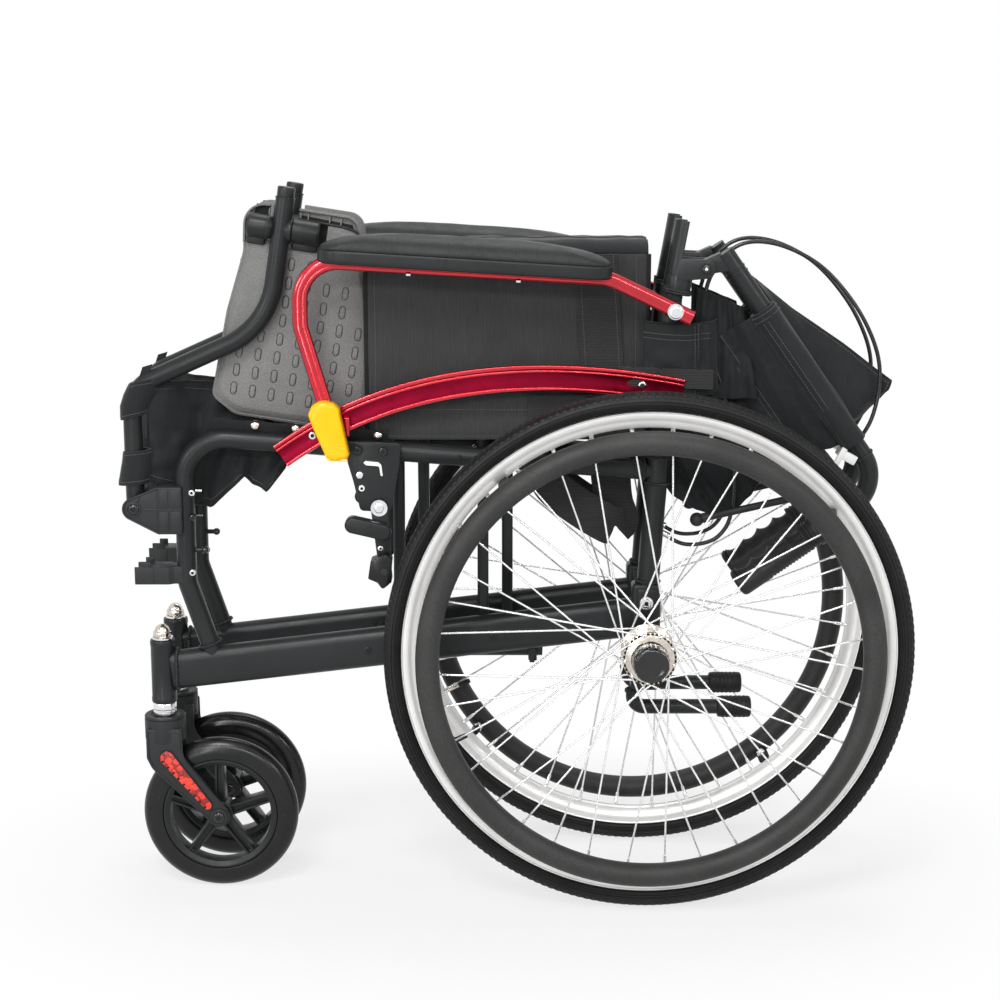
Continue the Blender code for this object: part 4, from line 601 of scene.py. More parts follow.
    def done(self, name, body=None, nodes=None, smooth=38, both=True):
        """Makes the left piece and its mirror image, each on its own body, for the nodes it
        replaces: the one of its own name, where nothing else is said."""
        mesh = bpy.data.meshes.new(name)
        self.mesh.to_mesh(mesh)
        self.mesh.free()
        for look in self.looks:
            mesh.materials.append(look)
        mesh.shade_smooth()
        mesh.set_sharp_from_angle(angle=math.radians(smooth))
        made = []
        for side in ("left_", "right_") if both else ("",):
            data = mesh
            if side == "right_":
                data = mesh.copy()
                data.transform(Matrix.Diagonal((1, -1, 1, 1)))
                data.flip_normals()
            obj = placed("look_" + side + name, data)
            if body:
                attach(obj, side + body)
            replaced = [name] if nodes is None else nodes
            if replaced:
                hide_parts(*[side + n for n in replaced])
            made.append(obj)
        return made


def ring_points(centre, radius, along, steps):
    """A closed ring of points round an axis, its first point given again at the end."""
    turn = Vector(along).to_track_quat("Z", "Y").to_matrix()
    return [Vector(centre) + turn @ Vector((radius * math.cos(a), radius * math.sin(a), 0))
            for a in (math.tau * i / steps for i in range(steps + 1))]


Y = -FRAME_Y
OUT = Vector((0, -1, 0))
UP = Vector((0, 0, 1))


def xz(points, y=Y):
    return [at(p[0], y, p[1]) for p in points]


def shrunk(loop, middle, share):
    """A flat loop made smaller round a point."""
    return [middle + (q - middle) * share for q in loop]


def mirrored(profile):
    """A turned profile's one half and its mirror image, as one closed run."""
    return list(profile) + [(r, -h) for r, h in reversed(profile)]


# Cloth


def shell(p, grid, thick, look, trim=0.5):
    """A cloth shell of real thickness over a grid of points, thinner at its rounded hems."""
    rows, cols = len(grid), len(grid[0])
    part = bmesh.new()
    front, back = [], []
    for i in range(rows):
        front.append([])
        back.append([])
        for j in range(cols):
            along = grid[min(i + 1, rows - 1)][j] - grid[max(i - 1, 0)][j]
            across = grid[i][min(j + 1, cols - 1)] - grid[i][max(j - 1, 0)]
            normal = along.cross(across).normalized()
            edge = i in (0, rows - 1) or j in (0, cols - 1)
            half = thick / 2 * (trim if edge else 1.0)
            front[i].append(part.verts.new(grid[i][j] + normal * half))
            back[i].append(part.verts.new(grid[i][j] - normal * half))
    for i in range(rows - 1):
        for j in range(cols - 1):
            part.faces.new((front[i][j], front[i + 1][j], front[i + 1][j + 1], front[i][j + 1]))
            part.faces.new((back[i][j], back[i][j + 1], back[i + 1][j + 1], back[i + 1][j]))
    for i in range(rows - 1):
        for j in (0, cols - 1):
            part.faces.new((front[i][j], front[i + 1][j], back[i + 1][j], back[i][j]))
    for j in range(cols - 1):
        for i in (0, rows - 1):
            part.faces.new((front[i][j], front[i][j + 1], back[i][j + 1], back[i][j]))
    p.take(part, look)


def grid_of(rows, cols, spot):
    """Points by two shares from 0 to 1, along and across."""
    return [[spot(i / rows, j / cols) for j in range(cols + 1)] for i in range(rows + 1)]


def column(grid, j):
    return [line[j] for line in grid]


def ripple(point, scale, size, seed=0.0):
    """A smooth repeatable wrinkle height."""
    return noise.noise(Vector(point) * scale + Vector((seed, seed * 1.7, -seed))) * size


def between(value, stops):
    """Straight-line reading of a short table of (place, value) stops."""
    if value <= stops[0][0]:
        return stops[0][1]
    for (a, va), (b, vb) in zip(stops, stops[1:]):
        if value <= b:
            return va + (vb - va) * (value - a) / (b - a)
    return stops[-1][1]


def eased(t):
    t = min(1.0, max(0.0, t))
    return t * t * (3 - 2 * t)


def run_length(points):
    return sum((b - a).length for a, b in zip(points, points[1:]))


def grid_area(grid):
    total = 0.0
    for a, b in zip(grid, grid[1:]):
        for i in range(len(a) - 1):
            total += (a[i + 1] - a[i]).cross(b[i] - a[i]).length / 2
            total += (a[i + 1] - b[i + 1]).cross(b[i] - b[i + 1]).length / 2
    return total


def flat_of(grid):
    """Mean width and length of a grid measured along its surface."""
    length = sum(run_length(line) for line in grid) / len(grid)
    return grid_area(grid) / length, length


def strap_along(p, line, width, thick, up, look=None, turns=None):
    """A webbing strap laid along a line, its width along the direction up."""
    grid = []
    for i, here in enumerate(line):
        wide = Vector(turns[i] if turns else up).normalized()
        grid.append([here + wide * (width * (k / 8 - 0.5)) for k in range(9)])
    shell(p, grid, thick, look or WEBBING, 0.85)


def sewn(p, line, out, radius=0.00034, pitch=0.0034):
    """A seam's stitches, just outside a line of the cloth."""
    p.stitches([q + OUT * out for q in line], STITCH, radius, pitch)


def cloth(p, name, body, held, flat, rests, nodes=(), smooth=60, **more):
    made = p.done(name, body, nodes, smooth=smooth)
    return made


def side_of(piece):
    return -1 if "left" in piece.name else 1


# Rear wheel


def wheel(radius, angle, y=-WHEEL_Y):
    return at(radius * math.cos(angle), y, AXLE_Z + radius * math.sin(angle))


def rear_tyre():
    """The tyre with four rows of square knobs on each half of its tread."""
    p = Piece()
    half = [(0.2622, 0.01), (0.2626, 0.0121), (0.2642, 0.0133), (0.265, 0.0138),
            (0.2653, 0.0131), (0.2659, 0.0132), (0.2662, 0.0143), (0.2672, 0.0146),
            (0.2676, 0.0139), (0.2682, 0.014), (0.2686, 0.0149), (0.2705, 0.015),
            (0.2712, 0.0144), (0.272, 0.0149), (0.274, 0.0144), (0.2762, 0.0128),
            (0.2779, 0.0102), (0.2788, 0.0068), (0.2791, 0.003)]
    p.turned(mirrored(half), at(0, -WHEEL_Y, AXLE_Z), OUT, TYRE, 160)
    part = bmesh.new()
    rows = [(0.2791, 0.0, 0), (0.279, 0.0046, 8), (0.2782, 0.0088, 30), (0.2757, 0.0128, 58)]
    rows += [(r, -h, -tilt) for r, h, tilt in rows[1:]]
    for row, (radius, out, tilt) in enumerate(rows):
        lean = math.radians(tilt)
        for i in range(KNOBS_ROUND):
            a = math.tau * (i + 0.5 * (row % 2)) / KNOBS_ROUND
            radial = Vector((math.cos(a), 0, math.sin(a)))
            round_way = Vector((-math.sin(a), 0, math.cos(a)))
            up = radial * math.cos(lean) + OUT * math.sin(lean)
            across = OUT * math.cos(lean) - radial * math.sin(lean)
            centre = wheel(radius, a, -WHEEL_Y - out)
            corners = []
            for lift, shrink in ((-0.0006, 1.0), (0.0008, 0.78)):
                for u, v in ((-1, -1), (1, -1), (1, 1), (-1, 1)):
                    corners.append(part.verts.new(
                        centre + up * lift + round_way * (u * 0.0027 * shrink)
                        + across * (v * 0.0017 * shrink)))
            low, high = corners[:4], corners[4:]
            part.faces.new(high)
            part.faces.new(low[::-1])
            for k in range(4):
                m = (k + 1) % 4
                part.faces.new((low[k], low[m], high[m], high[k]))
    p.take(part, TYRE)
    p.done("rear_tyre", "wheel")


def rear_rim():
    """The rim with its joint lines and the valve."""
    p = Piece()
    half = [(0.2617, 0.0116), (0.2613, 0.0121), (0.2598, 0.012), (0.259, 0.0113),
            (0.2545, 0.0111), (0.2512, 0.0101), (0.2475, 0.0078), (0.2445, 0.005),
            (0.243, 0.0025), (0.2427, 0.0008)]
    p.turned(mirrored(half), at(0, -WHEEL_Y, AXLE_Z), OUT, RIM, 160)
    for side in (-1, 1):
        y = -WHEEL_Y - side * 0.0121
        p.tube(ring_points(at(0, y, AXLE_Z), 0.2613, OUT, 160)[:-1], 0.00055, RECESS_SHADE_AND_SEAM, 6, closed=True)
    valve = math.radians(205)
    p.rod(wheel(0.243, valve), wheel(0.223, valve), 0.0021, NICKEL, 14)
    p.rod(wheel(0.226, valve), wheel(0.212, valve), 0.0033, PLASTIC, 16, 0.0027, 0.0004)
    p.done("rear_rim", "wheel")


def wheel_spokes():
    """The flanged hub and the crossed spokes with their nipples."""
    p = Piece()
    centre = at(0, -WHEEL_Y, AXLE_Z)
    half = [(0.0064, 0.022), (0.0125, 0.022), (0.0132, 0.0213), (0.0272, 0.0196),
            (0.0284, 0.0189), (0.0285, 0.0183), (0.0285, 0.0157), (0.028, 0.0151),
            (0.0175, 0.0118), (0.015, 0.0092), (0.0138, 0.007), (0.0134, 0.001)]
    p.turned(mirrored(half), centre, OUT, NICKEL, 72)
    p.turned([(0.0064, 0.0), (0.0064, 0.004), (0.0, 0.004)], centre + OUT * 0.0175, OUT,
             CHROME, 32, False)
    for index in range(SPOKE_COUNT):
        side = 1 if index % 2 else -1
        lean = 1 if (index // 2) % 2 else -1
        rim_angle = math.tau * (index + 0.5) / SPOKE_COUNT
        hub_angle = rim_angle + lean * SPOKE_CROSSING
        flange_y = side * 0.017 + lean * 0.0013
        start = wheel(0.0262, hub_angle, -WHEEL_Y + flange_y)
        end = wheel(0.2436, rim_angle, -WHEEL_Y + side * 0.004 + lean * 0.0013)
        way = (end - start).normalized()
        p.tube([start, start + way * 0.006, end - way * 0.014], 0.00105, SPOKE, 10)
        p.turned([(0.0017, 0.0), (0.0019, 0.0012), (0.0019, 0.0085), (0.0024, 0.0095),
                  (0.0024, 0.0145)], end - way * 0.015, way, SPOKE, 10, False)
        head = start + Vector((0, side * 0.0002 + lean * 0.0011, 0))
        p.ball(head, 0.0019, SPOKE, 10, 6)
        # Dark discs at the spoke holes of the outer flange: painted shade in the holes.
        p.turned([(0.0021, 0.0), (0.0021, 0.0004)], wheel(0.0262, hub_angle, -WHEEL_Y - 0.01935),
                 OUT, RECESS_SHADE_AND_SEAM, 12, False)
    p.done("wheel_spokes", "wheel")


def handrim():
    """The hand ring and the tabs that hold it to the rim."""
    p = Piece()
    section = [(HANDRIM_R + HANDRIM_TUBE * math.cos(a), HANDRIM_TUBE * math.sin(a))
               for a in angles(28)]
    p.turned(section, at(0, -HANDRIM_Y, AXLE_Z), OUT, RING_MATT, 176)
    for turn in TAB_ANGLES:
        a = math.radians(turn)
        start = wheel(HANDRIM_R + 0.004, a, -HANDRIM_Y + 0.009)
        knee = wheel(0.24, a, -WHEEL_Y - 0.017)
        end = wheel(0.241, a, -WHEEL_Y - 0.004)
        p.tube([start, start.lerp(knee, 0.6), knee, end], 0.0072, POWDER, 16, flat=0.55)
        inward = (wheel(0.1, a) - wheel(0.2, a)).normalized()
        spot = wheel(0.2375, a, -WHEEL_Y - 0.015)
        p.bolt(spot, inward, 0.0052, CHROME, 0.005, socket=False)
        p.nut(spot - inward * 0.0006, inward, 0.006, 0.0016, CHROME)
    p.done("handrim", "wheel")


def hub_cap():
    """The fluted cap over the axle."""
    p = Piece()
    base = at(0, -WHEEL_Y - 0.0223, AXLE_Z)
    p.turned([(0.015, 0.0), (0.02, 0.0), (0.0202, 0.0012), (0.0198, 0.003), (0.0193, 0.004),
              (0.0193, 0.005), (0.0197, 0.0058), (0.0192, 0.015), (0.0188, 0.0212),
              (0.018, 0.0238), (0.0164, 0.0249), (0.014, 0.025), (0.0125, 0.0241),
              (0.01, 0.0238), (0.0, 0.0238)], base, OUT, GLOSSY, 64, False)
    for a in angles(24):
        p.rod(wheel(0.0193, a, -WHEEL_Y - 0.029), wheel(0.0188, a, -WHEEL_Y - 0.042), 0.0007,
              GLOSSY, 6)
    p.done("hub_cap", "wheel")


# Front wheel


def caster_tyre():
    p = Piece()
    half = [(0.0632, 0.0118), (0.064, 0.012), (0.069, 0.012), (0.0725, 0.0117),
            (0.0755, 0.011), (0.0785, 0.0098), (0.081, 0.0081), (0.0831, 0.0058),
            (0.0844, 0.0032), (0.0849, 0.001)]
    p.turned(mirrored(half), at(CASTER_X, Y, CASTER_Z), OUT, CASTER_RUBBER, 112)
    p.done("caster_tyre", "caster")


def caster_rim():
    """The small wheel's rim, hub and ribbed spokes."""
    p = Piece()
    centre = at(CASTER_X, Y, CASTER_Z)
    half = [(0.0627, 0.0105), (0.062, 0.0116), (0.06, 0.0118), (0.0588, 0.011),
            (0.057, 0.0104), (0.0556, 0.0094), (0.0551, 0.004), (0.055, 0.001)]
    p.turned(mirrored(half), centre, OUT, PLASTIC_FINE, 96)
    hub = [(0.0045, 0.012), (0.0095, 0.012), (0.0098, 0.0112), (0.0128, 0.0112),
           (0.0138, 0.0104), (0.014, 0.008), (0.0136, 0.001)]
    p.turned(mirrored(hub), centre, OUT, PLASTIC_FINE, 48)
    for index in range(5):
        a = math.tau * (index + 0.25) / 5
        way = Vector((math.cos(a), math.sin(a)))
        side = Vector((-way.y, way.x))
        mid = Vector((CASTER_X, CASTER_Z))
        web = [mid + way * 0.011 + side * 0.0044, mid + way * 0.058 + side * 0.0033,
               mid + way * 0.058 - side * 0.0033, mid + way * 0.011 - side * 0.0044]
        p.plate(web, Y - 0.0048, Y + 0.0048, PLASTIC_FINE)
        for sign in (-1, 1):
            start = mid + way * 0.0115 + side * sign * 0.0046
            end = mid + way * 0.0585 + side * sign * 0.0034
            p.plate(stadium(start, end, 0.0013, 0.0011, 4), Y - 0.0098, Y + 0.0098,
                    PLASTIC_FINE, 0.0004)
        root = mid + way * 0.052
        fan = [root, mid + way * 0.057 + side * 0.01, mid + way * 0.059,
               mid + way * 0.057 - side * 0.01]
        p.plate(fan, Y - 0.007, Y + 0.007, PLASTIC_FINE, 0.0004)
    p.done("caster_rim", "caster")


def caster_fork():
    """The fork's head, its two cheek plates and the wheel bolt."""
    p = Piece()
    axle = (CASTER_X, CASTER_Z)
    top, low = 0.185, 0.147
    profile = [(0.0, 0.167), (0.0188, 0.167), (0.021, 0.1682), (0.0221, 0.1712), (0.0222, 0.1925),
               (0.0219, 0.1936), (0.0212, 0.1939), (0.0212, 0.1946), (0.0221, 0.1949),
               (0.0222, 0.1958), (0.0214, 0.1969), (0.019, 0.1972), (0.015, 0.1965),
               (0.0128, 0.1955), (0.0, 0.195)]
    p.turned(profile, at(SPINDLE_X, Y, 0), UP, PLASTIC, 64, False)
    corner = [Vector((SPINDLE_X - 0.0185, top)), Vector((SPINDLE_X - 0.0185, low + 0.005)),
              Vector((SPINDLE_X - 0.013, low - 0.007))]
    outline = corner + circle(axle, 0.0118, math.radians(205), math.radians(200), 16)
    outline += [Vector((SPINDLE_X + 0.0195, low + 0.008)), Vector((SPINDLE_X + 0.0195, top))]
    radii = [0.002, 0.006, 0.02] + [0.0] * 17 + [0.03, 0.002]
    outline = rounded_loop(outline, radii, 8)
    middle = Vector((-0.496, 0.133))
    for side in (-1, 1):
        near = Y + side * 0.015
        p.plate(outline, near, near + side * 0.0052, PLASTIC, 0.0014, 3)
        inner = [q + (middle - q).normalized() * 0.003 for q in outline]
        if side < 0:
            p.tube(dense(xz(inner, near + side * 0.0052), 0.003), 0.0011, PLASTIC, 8,
                   closed=True)
        boss = at(CASTER_X, near + side * 0.002, CASTER_Z)
        p.turned([(0.0098, 0.0), (0.0098, 0.0048), (0.009, 0.0058), (0.0072, 0.006),
                  (0.0068, 0.0052)], boss, Vector((0, side, 0)), PLASTIC, 40, False)
        p.bolt(boss + Vector((0, side * 0.005, 0)), Vector((0, side, 0)), 0.006, GLOSSY, 0.0028)
        p.pin(axle, Y + side * 0.0123, near + side * 0.001, 0.0062, CHROME)
    p.pin(axle, Y - 0.017, Y + 0.017, 0.0038, CHROME, 20)
    p.done("caster_fork", "fork")


def fork_stem():
    """The spindle with its spacers and the acorn nut on top."""
    p = Piece()
    high = 0.281
    centre = at(SPINDLE_X, Y, 0)
    p.turned([(0.0, 0.1826), (0.007, 0.1826), (0.007, 0.1973), (0.0118, 0.1973),
              (0.0125, 0.198), (0.0125, 0.2007), (0.0121, 0.2012), (0.0116, 0.2014),
              (0.0116, 0.203), (0.0124, 0.2034), (0.0127, 0.2042), (0.0127, 0.2098),
              (0.0121, 0.2107), (0.007, 0.2107), (0.007, high + 0.0003),
              (0.0112, high + 0.0003), (0.0115, high + 0.0008), (0.0115, high + 0.0026),
              (0.0109, high + 0.0031), (0.0, high + 0.0031)], centre, UP, CHROME, 48, False)
    nut = at(SPINDLE_X, Y, high + 0.0031)
    p.turned([(0.0098, 0.0), (0.0101, 0.0008), (0.0101, 0.0058), (0.0088, 0.0066)], nut, UP,
             NICKEL, 6, False, 0.0006)
    p.turned([(0.0084, 0.0055), (0.0083, 0.0068), (0.0076, 0.0092), (0.006, 0.0114),
              (0.0038, 0.0131), (0.0014, 0.0138), (0.0, 0.0139)], nut, UP, NICKEL, 40, False)
    p.done("fork_stem", "fork")


def fork_reflector():
    """The red strip on the cheek's outer face."""
    p = Piece()
    outer = Y - 0.0213
    start, end = Vector((SPINDLE_X + 0.004, 0.153)), Vector((CASTER_X - 0.012, 0.099))
    p.plate(stadium(start, end, 0.0075, 0.0045, 14), outer, outer - 0.0013, REFLECTOR, 0.0005)
    line = stadium(start, end, 0.0078, 0.0048, 14)
    p.tube(dense(xz(line, outer - 0.0006), 0.003), 0.0006, GLOSSY, 8, closed=True)
    way = (end - start).normalized()
    # A row of dots in the near-black used for painted recess shade.
    for i in range(9):
        below = Vector((way.y, -way.x)) * (0.0058 - 0.0026 * i / 8)
        p.pin(start.lerp(end, i / 8) + below, outer - 0.0011, outer - 0.0016, 0.0014, RECESS_SHADE_AND_SEAM, 10)
    p.done("fork_reflector", "fork")


# Side frame


def foot_weld(p, centre, radius, along):
    """A weld bead round a tube's foot."""
    p.weld(ring_points(centre, radius, along, 64), POWDER, 0.0017, 0.0019)


def side_frame():
    """The welded side: tubes, lower beam, head tube, axle casting, brackets."""
    p = Piece()
    corners = [(0.01, 0.4665), (-0.4934, 0.5052), (-0.4934, 0.345), (-0.466, 0.262)]
    path = rounded(corners, [0.045, 0.03], 14)
    p.tube(xz(dense(path, 0.012)), TUBE_R, POWDER, 32)
    post = [(0.0014, 0.331), (0.0225, 0.665)]
    p.tube(xz(post), POST_R, POWDER, 32)
    p.turned([(0.0112, 0.211), (0.0132, 0.2114), (0.0136, 0.2124), (0.0136, 0.2165),
              (0.0132, 0.2172), (0.0132, 0.2745), (0.0136, 0.2752), (0.0136, 0.2798),
              (0.013, 0.281), (0.0112, 0.281)], at(SPINDLE_X, Y, 0), UP, POWDER, 48, False)

    def oval(radius, steps):
        return (circle((0.0105, 0), radius, -math.pi / 2, math.pi, steps)
                + circle((-0.0105, 0), radius, math.pi / 2, math.pi, steps))

    front, rear = Vector((-0.512, 0.2466)), Vector((-0.004, 0.3068))
    p.swept([front.lerp(rear, i / 24) for i in range(25)], Y, oval(0.011, 14), POWDER)
    loop = [at(-0.5065, Y - o, 0.2473 + a) for a, o in oval(0.0118, 20)]
    p.weld(loop + loop[:1], POWDER, 0.0021, 0.0023)
    foot_weld(p, at(-0.4708, Y, 0.2765), 0.0118, (-0.0274, 0, 0.083))
    foot_weld(p, at(-0.004, Y, 0.4676), 0.012, (1, 0, -0.077))
    for z, away in ((0.466, -0.012), (0.47, 0.012)):
        foot_weld(p, at(post_x(z), Y, z + away), 0.0126, (0.0632, 0, 1))
    p.box(at(-0.0155, Y - 0.012, 0.226), at(0.0155, Y + 0.012, 0.345), POWDER, 0.0045, 4)
    for low, high in ((0.232, 0.25), (0.308, 0.34)):
        p.box(at(-0.0105, Y - 0.0132, low), at(0.0105, Y + 0.0132, high), POWDER, 0.003, 3)
    for z in (0.241, 0.3245):
        p.bolt(at(0, Y - 0.0132, z), OUT, 0.0052, CHROME, 0.0032, washer=0.0072)
    p.turned([(0.0165, 0.0), (0.0165, 0.003), (0.015, 0.0045), (0.014, 0.0058),
              (0.0075, 0.006)], at(0, Y - 0.011, AXLE_Z), OUT, POWDER, 48, False)
    p.pin((0, AXLE_Z), Y - 0.012, -0.116, 0.006, CHROME, 28)
    p.nut(at(0, Y - 0.0168, AXLE_Z), OUT, 0.0095, 0.0045)
    foot_weld(p, at(0.0018, Y, 0.3465), 0.0126, (0.0632, 0, 1))
    p.turned([(0.01, 0.0), (0.01, 0.013), (0.0084, 0.0145), (0.0084, 0.019),
              (0.0098, 0.0205), (0.0098, Y - ARM_INNER)],
             at(ARM_PIVOT[0], Y, ARM_PIVOT[1]), OUT, POWDER, 32, False)
    p.pin(ARM_PIVOT, Y, -ARM_Y - 0.0063, 0.004, CHROME, 20)
    p.bolt(at(ARM_PIVOT[0], -ARM_Y - 0.0055, ARM_PIVOT[1]), OUT, 0.0072, CHROME, 0.003, False)
    for x in (-0.29, -0.122):
        p.box(at(x - 0.003, Y + 0.008, PIVOT_Z - 0.013),
              at(x + 0.003, -PIVOT_Y + 0.006, PIVOT_Z + 0.013), POWDER, 0.0012)
        p.turned(mirrored([(0.0084, -0.004), (0.0128, -0.004), (0.0132, -0.0035)]),
                 at(x, -PIVOT_Y, PIVOT_Z), (1, 0, 0), POWDER, 36)
        bead = [at(x + 0.004, Y + 0.0105, PIVOT_Z + z) for z in (-0.012, 0.012)]
        p.weld(bead, POWDER, 0.0014, 0.0018)
    cradle(p)
    frame_trim(p)
    p.done("side_frame", "frame")


def cradle(p):
    """The open sleeve of the cane, the hinge ears and the welds under it."""

    def spot(s, n, y):
        place = upright(s, n)
        return at(place.x, Y + y, place.y)

    def arc(radius, steps=24):
        turn = [math.radians(92.5) + math.radians(175) * i / steps for i in range(steps + 1)]
        return [(radius * math.cos(a), radius * math.sin(a)) for a in turn]

    section = arc(0.0148) + arc(0.0122)[::-1]
    rings = []
    for s in (-0.012, -0.008, 0.0, 0.015, 0.03, 0.043, 0.045):
        grow = 1.012 if s > 0.04 else 1.0
        rings.append([spot(s, n * grow, y * grow) for n, y in section])
    p.rings(rings, POWDER)
    start, end = spot(-0.03, 0, 0), spot(-0.012, 0, 0)
    p.rod(start, end, 0.0148, POWDER, 36, bevel=0.0008)
    for s in (-0.03, -0.0275):
        foot_weld(p, spot(s, 0, 0), 0.015, end - start)
    for side in (-1, 1):
        outline = [upright(-0.018, -0.003), upright(0.006, -0.003)]
        outline += circle(CANE_PIVOT, 0.0102, math.radians(70), -math.radians(150), 14)
        near = Y + side * 0.0119
        p.plate(outline, near, near + side * 0.003, POWDER, 0.0006)
        way = Vector((0, side, 0))
        hinge = at(CANE_PIVOT[0], near + side * 0.003, CANE_PIVOT[1])
        p.turned([(0.0, 0.0), (0.0062, 0.0), (0.0062, 0.0012), (0.0, 0.0012)], hinge, way, POWDER,
                 28, False)
        p.bolt(hinge + way * 0.001, way, 0.0046, GLOSSY, 0.0028)
        p.ball(hinge + way * 0.0034, 0.0022, CHROME, 16, 8)
    p.pin(CANE_PIVOT, Y - 0.015, Y + 0.015, 0.003, CHROME, 18)


def frame_trim(p):
    """Small bolts, caps and holes along the tubes."""
    for x, z, look in ((-0.4845, 0.4445, CHROME), (-0.4845, 0.4174, GLOSSY),
                       (-0.4862, 0.3572, CHROME)):
        p.pin((x, z), Y, Y - 0.0085, 0.0028, POWDER, 16)
        p.bolt(at(x, Y - 0.0085, z), OUT, 0.0036, look, 0.0022)
    for z, look in ((0.4445, CHROME), (0.4174, GLOSSY)):
        p.rod(at(-0.485, Y + 0.002, z), at(-0.4755, Y + 0.002, z), 0.0014, look, 12)
    p.rod(at(-0.485, Y, 0.3802), at(-0.4745, Y, 0.3802), 0.0026, POWDER, 14)
    p.ball(at(-0.4735, Y, 0.3802), 0.004, GLOSSY, 18, 10)
    # A dark dome on the top tube: painted shade standing for a hole in it.
    p.bolt(at(-0.2, Y - TUBE_R + 0.0002, 0.4826), OUT, 0.003, RECESS_SHADE_AND_SEAM, 0.0008, False)
    for x in (-0.3, -0.164):
        p.bolt(at(x, Y - 0.0108, beam_z(x)), OUT, 0.004, POWDER, 0.002)
    p.rod(at(0.01, Y, 0.4665), at(0.0125, Y, 0.4663), TUBE_R + 0.0004, PLASTIC, 32, bevel=0.0008)


def side_guard():
    """The extruded red arc: ribbed edges round a broad sunk face. The face takes a darker copy of
    the red as painted shade; the ribs take the bright red.
    """
    start, middle, end = Vector((-0.388, 0.486)), Vector((-0.2, 0.562)), Vector((0.034, 0.554))
    bow = middle + (middle - (start + end) / 2)
    path = []
    for step in range(61):
        t = step / 60
        path.append((1 - t) ** 2 * start + 2 * t * (1 - t) * bow + t * t * end)
    outer = Y - POST_R - 0.001
    p = Piece()
    shaded_face = [(-0.0128, 0.0), (-0.0128, 0.0054), (-0.009, 0.0056), (-0.004, 0.005),
            (0.001, 0.0048), (0.005, 0.0052), (0.0062, 0.0056), (0.0128, 0.0056), (0.0128, 0.0)]
    p.swept(path, outer, shaded_face, RED_FACE_SHADE)
    for low, high, out in ((0.0094, 0.0135, 0.008), (0.0056, 0.0084, 0.0072),
                           (-0.0135, -0.0096, 0.008)):
        r = 0.0009
        shape = [(low, 0.0), (low, out - r), (low + r * 0.3, out - r * 0.3), (low + r, out),
                 (high - r, out), (high - r * 0.3, out - r * 0.3), (high, out - r), (high, 0.0)]
        p.swept(path, outer, shape, RED)
    p.pin(path[7], Y - TUBE_R + 0.001, outer - 0.004, 0.007, POWDER, 28)
    x, z = ARM_FOOT
    p.box(at(x - 0.009, outer - 0.004, z - 0.006), at(x + 0.009, ARM_INNER, z + 0.01), PLASTIC,
          0.0012)
    p.box(at(x + 0.0085, outer - 0.0045, z - 0.004), at(x + 0.016, ARM_INNER, z + 0.016), RED,
          0.0012)
    for t in (0.115, 0.93):
        spot = path[int(t * 60)]
        p.bolt(at(spot.x, outer - 0.0052, spot.y), OUT, 0.0044, CHROME, 0.0026)
    p.done("side_guard", "frame")


def leg_bracket():
    """The moulded clamp: a square block with a ribbed ear that narrows to the pivot."""
    p = Piece()
    block = [(-0.4945, 0.4005), (-0.4945, 0.4515), (-0.5205, 0.4515), (-0.5205, 0.4005)]
    p.plate(rounded_loop(block, [0.0015] * 4, 3), Y - 0.016, Y + 0.016, PLASTIC, 0.001)
    pivot = Vector(LEG_PIVOT)
    ear = [Vector((-0.5195, 0.4012)), Vector((-0.5195, 0.4508))]
    ear += circle(pivot, 0.0112, math.radians(117), math.radians(126), 14)
    for side in (-1, 1):
        near, far = Y + side * 0.0114, Y + side * 0.015
        p.plate(ear, near, far, PLASTIC, 0.0006)
        line = xz(ear, far)
        p.tube(dense(line + line[:1], 0.002)[:-1], 0.0012, PLASTIC, 8, closed=True)
        p.tube(xz([(-0.535, 0.4277), (-0.51, 0.4277)], far), 0.001, PLASTIC, 8)
        for a in (62, -62):
            away = Vector((math.cos(math.radians(a)), math.sin(math.radians(a))))
            p.tube(xz([pivot + away * reach for reach in (0.0085, 0.015)], far), 0.0009,
                   PLASTIC, 8)
        p.turned([(0.0062, 0.0), (0.0078, 0.0), (0.008, 0.0004), (0.008, 0.0016),
                  (0.0074, 0.002), (0.0062, 0.002)], at(pivot.x, far - side * 0.0004, pivot.y),
                 Vector((0, side, 0)), PLASTIC, 36)
        p.bolt(at(pivot.x, far, pivot.y), (0, side, 0), 0.0056, GLOSSY, 0.0026)
        low, high = sorted((near, Y + side * 0.0168))
        for x0, x1 in ((-0.5185, -0.5085), (-0.507, -0.4955)):
            for z0, z1 in ((0.4025, 0.4258), (0.4292, 0.4495)):
                p.box(at(x0, low, z0), at(x1, high, z1), PLASTIC, 0.0008)
    p.pin(pivot, Y - 0.015, Y + 0.015, 0.004, CHROME, 20)
    p.done("leg_bracket", "frame")


def lower_clip():
    """The hooked catch for the leg rest when it hangs down."""
    p = Piece()
    outline = [(-0.49, Y - 0.0098), (-0.49, Y + 0.0098), (-0.506, Y + 0.0098),
               (-0.511, Y + 0.0135), (-0.547, Y + 0.0135), (-0.5478, Y + 0.0125),
               (-0.5478, Y + 0.0109), (-0.538, Y + 0.0109), (-0.538, Y - 0.0109),
               (-0.5478, Y - 0.0109), (-0.5478, Y - 0.0125), (-0.547, Y - 0.0135),
               (-0.511, Y - 0.0135), (-0.506, Y - 0.0098)]
    p.rings([[at(x, y, z) for x, y in outline] for z in (0.345, 0.364)], PLASTIC, bevel=0.0012,
            segments=3)
    for side in (-1, 1):
        y = Y + side * 0.012
        p.box(at(-0.5395, y - 0.001, 0.361), at(-0.53, y + 0.001, 0.3695), PLASTIC, 0.0014, 3)
        p.box(at(-0.529, y - 0.0022, 0.3475), at(-0.527, y + 0.0022, 0.3615), PLASTIC, 0.0006)
    p.done("lower_clip", "frame")


